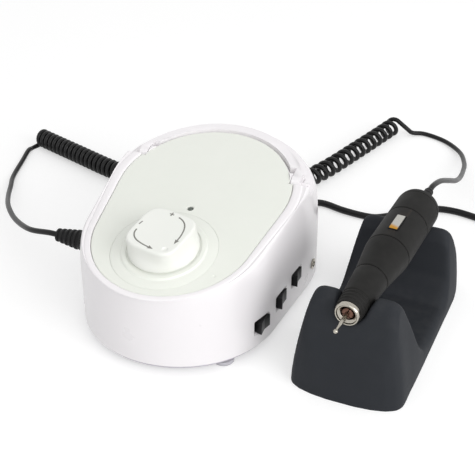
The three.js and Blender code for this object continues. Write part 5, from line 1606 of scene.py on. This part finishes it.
    def tie(self) -> Piece:
        """Flat woven tie round one side of the coil.

        Returns:
            The settled tie.
        """
        reach = self.radius + self.tie_gap
        inner = self.coil_radius - self.turns / self.layers * self.step - reach
        outer = self.coil_radius + reach
        low, high = self.base - reach, self.base + (self.layers - 1) * self.step + reach
        rings = []
        for x, out in self.tie_rings:
            outline = rounded([(inner - out, low - out), (outer + out, low - out), (outer + out, high + out),
                               (inner - out, high + out)], 2.2 + out, 5, True)
            rings.append([(x, y, z) for y, z in outline])
        tie = loft("coil_tie_strap", rings, Ends.JOINED)
        return settle(tie, TIE_BLACK, "console", ["coil_tie"], at(*self.coil_centre, 0))

    def cord(self, coil: np.ndarray, pieces: list[Piece]) -> None:
        """The lead and the coil in one tube.

        Args:
            coil: Route of the coil.
            pieces: Plug, pins and tie that go with it.
        """
        start = GLAND_MOUTH + Vector((0, self.relief_length, 0))
        lead = lead_points(start, Vector((0, 1, 0)), self.route, Vector(coil[0]), Vector((1, 0, 0)),
                           self.radius)
        path = np.vstack([lead, coil])
        cord = tube("mains_cord", path, self.radius, 14)
        settle(cord, CORD_BLACK, "console", ["mains_lead", "mains_coil"], angle=60)


@dataclass
class WallFittings:
    """Rocker switches and the pedal jack on the right wall."""

    half_width: float = 5.9
    height: float = 8.2
    reach: float = 4.9
    dish: float = 1.0
    bulge: float = 0.55
    edge: float = 0.4
    pivot_depth: float = 3.0
    tilt: float = 11.0
    back: tuple[float, float] = (-2.4, 3.0)
    bush_line: Table = ((1.75, -12), (3.0, -12), (3.0, 0.3), (3.6, 0.3), (3.6, 0.8), (2.4, 0.9), (1.75, 0.4))

    def build(self) -> None:
        """Build and dress the rockers and the jack."""
        for number, (y, z) in enumerate(SWITCH_PLACES, start=1):
            self.rocker(number, wall_frame(y, z))
        jack = turn("pedal_jack_bush", rounded(self.bush_line, 0.2, 3, True), Axis.X, 40, True)
        settle(jack, BRIGHT_STEEL, "console", ["pedal_jack"], at(wall_at(JACK_PLACE[0])[0], *JACK_PLACE))

    def rocker(self, number: int, place: Matrix) -> None:
        """Rocker with two dished halves and softened edges.

        Args:
            number: Number of the switch, from the front.
            place: Frame of its opening.
        """
        w, f, (back, back_half) = self.half_width, self.reach, self.back
        outline = rounded([(f, -w, 0.5), (f - self.bulge, -w / 2, 1.2), (f - self.dish, 0, 0.5),
                           (f - self.bulge, w / 2, 1.2), (f, w, 0.5), (0, w - self.dish, 0.4),
                           (back, back_half, 0.3), (back, -back_half, 0.3), (0, self.dish - w, 0.4)],
                          self.edge, 3, True)
        rocker = prism(f"rocker_cap_{number}", outline, -self.height / 2, self.height / 2)
        soften(rocker, self.edge, 3, 60)
        settle(rocker, SWITCH_BLACK, f"rocker_body_{number}", [f"rocker_{number}"],
               place @ at(-self.pivot_depth, 0, 0) @ turned(self.tilt, "Z"))


@dataclass
class Handpiece:
    """Handpiece along its own +Y, from the nose ring to the strain relief."""

    sleeve_front: float = 8.0
    sleeve_rear: float = 10.3
    sleeve_start: float = 3.3
    sleeve_end: float = 35.5
    grip_rings: int = 4
    grip_start: float = 5.0
    grip_pitch: float = 2.6
    grip_width: float = 1.4
    barrel_radius: float = 13.65
    barrel_wall: float = 1.9
    barrel: tuple[float, float] = (62.5, 94.5)
    edge: float = 0.35
    bore: float = 5.7
    plate_place: float = 77.0
    rib_count: int = 5
    rib_pitch: float = 3.4
    relief_radius: float = 3.8
    relief_taper: float = 0.85
    bur_radius: float = 1.3
    bur_place: float = -14.7
    flutes: int = 8
    jaws: int = 3
    first_jaw: float = 0.3
    slot_half: float = 0.28
    slot_reach: tuple[float, float] = (5.2, 5.0)
    flute_radius: float = 0.26
    flute_out: float = 0.08
    flute_lean: float = 0.35
    rib_start: float = 121.7
    seat: tuple[float, ...] = (3.2, 8.3, 0.9, 12.95, 20.0)
    plate_rim: tuple[float, ...] = (2.9, 8.0, 0.8, 13.25, 13.95)
    plate_face: tuple[float, ...] = (2.45, 7.5, 0.6, 13.6, 14.2)
    cap_start: float = 95.0
    cap_groove: Table = ((0, 114.2), (0.3, 114.45), (0.3, 114.75), (0.03, 115.0))
    arm_across: tuple[float, float] = (8.35, 9.0)
    arm_span: tuple[float, float] = (90.5, 99.0)
    arm_half: float = 1.5
    nose_line: Table = (
        (5.3, 9.0), (5.3, 3.4, 0.3), (4.15, 2.9, 0.2), (4.15, 1.9, 0.2), (5.3, 0.75, 0.3), (5.7, 0.7, 0.1),
        (5.7, 2.2, 0.1), (6.15, 2.2, 0.1), (6.15, 0.15, 0.1), (6.45, 0.0, 0.2), (6.75, 0.0, 0.2),
        (7.4, 0.9, 0.5), (7.4, 3.0, 0.2), (6.5, 3.0, 0.1), (6.5, 9.0))
    taper_line: Table = ((9.9, 36, 0.1), (10.3, 36.4, 0.3), (11.95, 49.0, 8.0), (13.3, 58.6, 3.0),
                         (13.62, 61.6, 0.3), (13.2, 62.0, 0.1))
    cap_line: Table = (
        (13.45, 116.4, 1.0), (12.9, 118.8, 2.0), (11.3, 120.6, 1.2), (9.6, 121.0, 1.0), (5.2, 121.0, 0.3),
        (4.9, 120.5, 0.2), (2.7, 120.5, 0.1), (2.7, 117.0))
    bridge_line: Table = ((2.5, 104.5), (2.5, 102.6), (7.1, 102.6), (7.1, 97.5))
    relief_line: Table = ((0, 118.2), (2.4, 118.2, 0.2), (2.4, 121.1, 0), (3.8, 121.2, 0.3))
    relief_rib: Table = ((0, 0.5, 0.25), (-0.55, 0.9, 0.2), (-0.55, 2.1, 0.2), (-0.1, 2.5, 0.25))
    collet_line: Table = ((1.3, 1.0, 0.1), (2.6, 1.0, 0.3), (3.5, 1.7, 0.3), (3.5, 2.9, 0.2), (3.9, 3.6, 0.3),
                          (3.9, 11.0, 0.2), (1.5, 11.0))
    shank_line: Table = ((0.72, -13.0), (0.82, -9.6, 0.6), (1.175, -7.6, 0.6), (1.175, 8.0, 0.1), (0, 8.0))

    def build(self) -> None:
        """Build and dress every outer piece of the handpiece."""
        self.finished("polished_nose_ring", self.nose_line, 0.2, 4, 72, BRIGHT_STEEL, "twist_grip",
                      "nose_ring")
        self.twist_sleeve()
        self.finished("taper_sleeve_body", [(self.bore, 36), *self.taper_line, (self.bore, 62.0)], 0.1, 5, 80,
                      SOFT_BLACK, "handpiece", "taper_sleeve")
        self.motor_barrel()
        self.tail_cap()
        self.relief()
        self.plate()
        self.collet()
        self.bur()

    def finished(self, name: str, line: Profile | Table, fillet: float, steps: int, facets: int,
                 finish: Finish, body: str, node: str) -> None:
        """Turn a closed profile and settle it on the handpiece.

        Args:
            name: Name of the new piece.
            line: Corners of the profile.
            fillet: Fillet of corners that have none of their own.
            steps: Spans in each rounding.
            facets: Steps of the spin.
            finish: Finish that it gets.
            body: Body that it rides on.
            node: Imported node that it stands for.
        """
        piece = turn(name, rounded(line, fillet, steps, True), Axis.Y, facets, True)
        settle(piece, finish, body, [node], HANDPIECE)

    def sleeve_radius(self, place: float) -> float:
        """Outer radius of the twist sleeve at a place along it."""
        share = (place - self.sleeve_start) / (self.sleeve_end - self.sleeve_start)
        return self.sleeve_front + (self.sleeve_rear - self.sleeve_front) * share

    def twist_sleeve(self) -> None:
        """Twist sleeve with four grip rings behind the nose and a softened end."""
        starts = [self.grip_start + self.grip_pitch * i for i in range(self.grip_rings)]
        rise = self.sleeve_radius(self.grip_width) - self.sleeve_radius(0)
        shape = ((0, 0, 0.35), (-0.5, 0.5, 0.3), (-0.45, 0.9, 0.3), (rise, self.grip_width, 0.35))
        line = [(6.8, 3.1, 0.1), (7.75, 3.1, 0.3),
                *ribs(starts, [self.sleeve_radius(a) for a in starts], shape),
                (10.28, self.sleeve_end - 0.4, 0.3), (9.9, self.sleeve_end, 0.1),
                (self.bore, self.sleeve_end), (self.bore, 9.3), (6.8, 9.3)]
        self.finished("twist_sleeve_grip", line, 0.1, 3, 72, SOFT_BLACK, "twist_grip", "twist_sleeve")

    def motor_barrel(self) -> None:
        """Motor barrel with softened ends and a seat for the plate."""
        r, edge, (low, high) = self.barrel_radius, self.edge, self.barrel
        inner = r - self.barrel_wall
        line = rounded([(self.bore, low), (r - edge, low, 0.1), (r, low + edge, 0.3), (r, high - edge, 0.3),
                        (r - edge, high, 0.1), (inner, high), (inner, low + self.barrel_wall),
                        (self.bore, low + self.barrel_wall)], 0.1, 3, True)
        barrel = turn("motor_barrel_body", line, Axis.Y, 88, True)
        carve(barrel, [self.on_plate("seat", *self.seat)])
        settle(barrel, SOFT_BLACK, "handpiece", ["motor_barrel"], HANDPIECE, 28)

    def on_plate(self, name: str, half_x: float, half_y: float, corner: float, low: float,
                 high: float) -> Piece:
        """Rounded rectangle in the plate's place between two heights."""
        return moved(prism(name, rectangle(half_x, half_y, corner), low, high), at(0, self.plate_place, 0))

    def tail_cap(self) -> None:
        """Tail cap that rounds over to the strain relief, with the bearing's bridge and the brush arms."""
        r, inner = self.barrel_radius, self.barrel_radius - self.barrel_wall
        start = self.cap_start
        line = [(inner, start), (r - self.edge, start, 0.1), (r, start + self.edge, 0.3),
                *((r - depth, place, 0.1) for depth, place in self.cap_groove), *self.cap_line,
                (inner, 113.0), (inner, 104.5), *self.bridge_line, (inner, 97.5)]
        cap = turn("tail_cap_body", rounded(line, 0.2, 6, True), Axis.Y, 80, True)
        for hand in (-1, 1):
            xs, ys, half = on_side(hand, *self.arm_across), self.arm_span, self.arm_half
            carve(cap, [box("brush_arm", (xs[0], ys[0], -half), (xs[1], ys[1], half))], Cut.ADD)
        settle(cap, SOFT_BLACK, "handpiece", ["tail_cap"], HANDPIECE)

    def relief(self) -> None:
        """Ribbed strain relief of the handpiece's cord."""
        count = range(self.rib_count)
        line = [*self.relief_line,
                *ribs([self.rib_start + i * self.rib_pitch for i in count],
                      [self.relief_radius - self.relief_taper * i / self.rib_count for i in count],
                      self.relief_rib),
                (2.55, HANDPIECE_LENGTH, 0.3), (0, HANDPIECE_LENGTH)]
        relief = turn("grip_relief_sleeve", rounded(line, 0.2, 3), Axis.Y, 40)
        settle(relief, BOOT_BLACK, "handpiece", ["grip_relief"], HANDPIECE, 40)

    def plate(self) -> None:
        """Bare metal plate in a thin dark frame, amber at its nose end."""
        rim = self.on_plate("label_plate_rim", *self.plate_rim)
        settle(soften(rim, 0.15, 2, 50), BOOT_BLACK, "handpiece", (), HANDPIECE)
        face = self.on_plate("label_plate_face", *self.plate_face)
        place = (HANDPIECE @ Vector((0, self.plate_place - 4.4, 14))) * MILLI + BOX_PLACE
        way = (HANDPIECE.to_3x3() @ Vector((0.35, 1.0, 0))).normalized()
        finish = TwoToneFinish("silver_and_amber_plate", "silver_plate", "b8b6b0", "a3a19b", 0.28, 0.06,
                               metallic=0.75, grain_depth=0.006, second="c08a2c", line_place=tuple(place),
                               line_way=tuple(way))
        settle(soften(face, 0.14, 3, 50), finish, "handpiece", ["label_plate"], HANDPIECE)

    def collet(self) -> None:
        """Three-jawed collet with its slots and the steel cone behind them."""
        collet = turn("bronze_collet_jaws", rounded(self.collet_line, 0.1, 3, True), Axis.Y, 48, True)
        half = self.slot_half
        carve(collet, [moved(box("slot", (-half, 0.0, 0.0), (half, *self.slot_reach)),
                             Matrix.Rotation(2 * math.pi * i / self.jaws + self.first_jaw, 4, "Y"))
                       for i in range(self.jaws)])
        settle(collet, COLLET_BRONZE, "spindle_group", ["collet"], HANDPIECE)

    def bur(self) -> None:
        """Bur with a slender neck and a small fluted ball."""
        r, middle = self.bur_radius, self.bur_place
        line = [(0.0, middle - r),
                *((r * math.sin(a), middle - r * math.cos(a)) for a in np.linspace(0.25, 2.5, 10)),
                *rounded(self.shank_line, 0.1, 3)]
        bur = turn("ball_bur", line, Axis.Y, 36)
        carve(bur, [moved(rod("flute", self.flute_radius, -3, 3, Axis.Y, 10),
                          Matrix.Rotation(2 * math.pi * i / self.flutes, 4, "Y")
                          @ at(r + self.flute_out, middle, 0)
                          @ Matrix.Rotation(self.flute_lean, 4, "X"))
                    for i in range(self.flutes)])
        settle(bur, BRIGHT_STEEL, "spindle_group", ["bur"], HANDPIECE)


@dataclass
class Cradle:
    """One moulded block with a front and a rear saddle, soft all over."""

    centre: float = 119.8
    drift: float = 1.5
    front: float = -59.0
    length: float = 144.0
    half_width: float = 35.0
    height: float = 67.5
    under: float = -4.0
    lean: float = 11.5
    lean_bend: float = 1.5
    edge: float = 7.0
    rise: float = 30.0
    flare: float = 0.62
    margin: float = 0.45
    front_saddle: tuple[float, float] = (-15.0, 40.5)
    rear_saddle: tuple[float, float] = (84.5, 141.0)
    voxel: float = 0.95
    relax: int = 16
    section_shares: Table = (
        (0, 0.23, 0.1), (0.007, 0.51, 0.3), (0.021, 0.74, 0.48), (0.042, 0.89, 0.66),
        (0.069, 0.957, 0.79), (0.097, 0.97, 0.885), (0.125, 0.97, 0.93), (0.153, 0.97, 0.925),
        (0.177, 0.97, 0.875), (0.222, 0.977, 0.67), (0.271, 0.98, 0.44), (0.319, 0.983, 0.27),
        (0.368, 0.986, 0.17), (0.41, 0.986, 0.148), (0.688, 0.994, 0.148), (0.729, 0.997, 0.222),
        (0.764, 1, 0.36), (0.785, 1, 0.54), (0.799, 1, 0.68), (0.819, 1, 0.765),
        (0.84, 1, 0.785), (0.868, 1, 0.75), (0.903, 0.986, 0.655), (0.938, 0.971, 0.52),
        (0.965, 0.93, 0.385), (0.986, 0.86, 0.207), (1, 0.74, 0.1))

    def build(self) -> None:
        """Loft the sections, cut the saddles, remesh and relax, trim the foot flat, and dress the block."""
        table = np.array(self.section_shares, float)
        places = np.unique(np.concatenate([table[:, 0], np.linspace(0, 1, 60)]))
        block = loft("moulded_cradle", [self.section(a, *(float(np.interp(a, table[:, 0], table[:, k]))
                                                          for k in (1, 2))) for a in places])
        handpiece = Handpiece()
        carve(block, [self.saddle(self.front_saddle, handpiece.sleeve_radius),
                      self.saddle(self.rear_saddle, lambda place: handpiece.barrel_radius)])
        remesh = block.modifiers.new("remesh", "REMESH")
        remesh.mode = "VOXEL"
        remesh.voxel_size = self.voxel
        relax = block.modifiers.new("relax", "SMOOTH")
        relax.factor = 0.5
        relax.iterations = self.relax
        applied(block)
        bpy.ops.object.mode_set(mode="EDIT")
        bpy.ops.mesh.select_all(action="SELECT")
        bpy.ops.mesh.bisect(plane_co=(0, 0, 0), plane_no=(0, 0, 1), use_fill=True, clear_inner=True)
        settle(end_edit(block), CRADLE_SLATE, "console", ["cradle"], angle=60)

    def section(self, along: float, wide: float, high: float) -> Ring:
        """Ring across the cradle at a share of its length.

        Args:
            along: Share of the length.
            wide: Share of the half width.
            high: Share of the height.

        Returns:
            Places round the section.
        """
        y = self.front + along * self.length
        middle = self.centre + self.drift * (2 * along - 1)
        top, half = high * self.height, wide * self.half_width
        edge = min(self.edge, top / 2)

        def lean(z: float) -> float:
            """How far the side leans in at a height."""
            return self.lean * (z / self.height) ** self.lean_bend

        right = [(half, self.under)] + [(half - lean(z), z) for z in np.linspace(0, top - edge, 8)]
        corner = half - lean(top - edge) - edge
        right += [(corner + edge * math.cos(a), top - edge + edge * math.sin(a))
                  for a in np.linspace(0, math.pi / 2, 9)[1:]]
        return [(middle + x, y, z) for x, z in right + [(-x, z) for x, z in reversed(right)]]

    def saddle(self, span: tuple[float, float], radius_at: Callable[[float], float]) -> Piece:
        """Cutter of a channel along the handpiece, round below and flaring above.

        Args:
            span: Places along the handpiece where it starts and ends.
            radius_at: Radius of the handpiece at a place.

        Returns:
            The cutter.
        """
        rings = []
        for place in span:
            radius = radius_at(place) + self.margin
            ring = [(radius * math.cos(a), place, radius * math.sin(a))
                    for a in np.linspace(math.pi, 2 * math.pi, 25)]
            spread = radius + self.flare * self.rise
            rings.append(ring + [(spread, place, self.rise), (-spread, place, self.rise)])
        return moved(loft("saddle", rings), HANDPIECE)


class Insides:
    """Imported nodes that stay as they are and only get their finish."""

    finishes: dict[str, Finish] = {
        "potentiometer": GREY_PLASTIC, "plug_socket": GREY_PLASTIC, "circuit_board": BOARD_GREEN,
        "heat_sink": DARK_STEEL, "capacitor": GREY_PLASTIC, "transformer_core": DARK_STEEL,
        "transformer_winding": COPPER_WIRE, "stator_magnet": DARK_STEEL, "rotor": COPPER_WIRE,
        "switch_body": SWITCH_BLACK, "carbon_brush": GREY_PLASTIC, "tray_screw": DARK_STEEL,
        "handle_pin": GLOSS_WHITE,
    }

    def dress(self) -> None:
        """Give every node that no piece stands for a procedural finish, steel where none is named."""
        for name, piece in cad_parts.items():
            if piece.hide_render:
                continue
            finish = next((f for start, f in self.finishes.items() if name.startswith(start)), BRIGHT_STEEL)
            if not piece.material_slots:
                piece.data.materials.append(None)
            for spot in piece.material_slots:
                spot.material = finish.material()
            log.info("%s: dressed in %s", name, finish.name)


@dataclass
class Studio:
    """Plain white floor, soft light and the camera."""

    eye: tuple[float, float, float] = (0.18588, -0.49836, 0.3832)
    target: tuple[float, float, float] = (-0.02958, 0.0132, 0.03)
    lens: float = 75.79
    sensor: float = 36.0
    clip: tuple[float, float] = (0.01, 20.0)
    shade: float = 0.36
    sheen: float = 1.0
    bright_side: tuple[float, float, float] = (0.66, -0.66, 0.35)
    lamps: tuple[tuple[str, tuple[float, float, float], float, float], ...] = (
        ("key_light", (0.45, -0.95, 0.95), 0.9, 2.8), ("side_light", (1.2, -0.55, 0.65), 0.8, 8.0))
    lit_point: tuple[float, float, float] = (0.0, 0.0, 0.03)
    floor_size: float = 12.0
    floor_grey: float = 0.62
    floor_glow: float = 0.46

    def build(self) -> None:
        """Set up camera, world, lamps and floor."""
        scene = bpy.context.scene
        camera = bpy.data.cameras.new("photo_camera")
        camera.lens = self.lens
        camera.sensor_width = self.sensor
        camera.clip_start, camera.clip_end = self.clip
        scene.camera = self.aimed(camera, self.eye, self.target)
        self.world()
        for name, place, size, power in self.lamps:
            lamp = bpy.data.lights.new(name, "AREA")
            lamp.size = size
            lamp.energy = power
            self.aimed(lamp, place, self.lit_point)
        self.floor()
        scene.view_settings.view_transform = "Standard"

    def aimed(self, data: bpy.types.ID, place: Sequence[float], target: Sequence[float]) -> Piece:
        """Put a camera or a lamp in its place and aim it.

        Args:
            data: The camera or lamp.
            place: Where it stands.
            target: Where it looks.

        Returns:
            The new object.
        """
        thing = bpy.data.objects.new(data.name, data)
        thing.location = place
        thing.rotation_euler = (Vector(target) - Vector(place)).to_track_quat("-Z", "Y").to_euler()
        bpy.context.scene.collection.objects.link(thing)
        return thing

    def world(self) -> None:
        """White surroundings: plain white to the eye, brighter from the right front as a light."""
        world = bpy.data.worlds.new("white_room")
        world.use_nodes = True
        graph = Graph(world.node_tree)
        facing = graph.add("VectorMath", {0: graph.where("Generated"), 1: self.bright_side},
                           operation="DOT_PRODUCT")
        lit = graph.add("MapRange", {"Value": facing["Value"], "From Min": -1.0, "To Min": self.shade,
                                     "To Max": self.sheen})
        strength = graph.add("MapRange", {"Value": graph.seen(), "To Min": lit["Result"], "To Max": 1.0})
        graph.fill(world.node_tree.nodes["Background"], {"Color": (1.0, 1.0, 1.0, 1.0),
                                                         "Strength": strength["Result"]})
        bpy.context.scene.world = world

    def floor(self) -> None:
        """White floor that keeps a soft shadow of the object."""
        deselect()
        bpy.ops.mesh.primitive_plane_add(size=self.floor_size)
        floor = bpy.context.object
        floor.name = floor.data.name = "studio_floor"
        material = bpy.data.materials.new("white_floor")
        material.use_nodes = True
        graph = Graph(material.node_tree)
        glow = graph.add("MapRange", {"Value": graph.seen(), "To Max": self.floor_glow})
        graph.fill(material.node_tree.nodes["Principled BSDF"], {
            "Base Color": (*[self.floor_grey] * 3, 1.0), "Roughness": 0.9, "Specular IOR Level": 0.0,
            "Emission Color": (1.0, 1.0, 1.0, 1.0), "Emission Strength": glow["Result"]})
        floor.data.materials.append(material)


def main() -> None:
    """Build the scene, camera and cords first."""
    logging.basicConfig(level=logging.INFO, format="%(name)s: %(message)s")
    for part in (Studio(), HandpieceCord(), MainsCord(), ControlBox(), SpeedControl(), WallFittings(),
                 Handpiece(), Cradle()):
        part.build()
    Insides().dress()


if __name__ == "__main__":
    main()
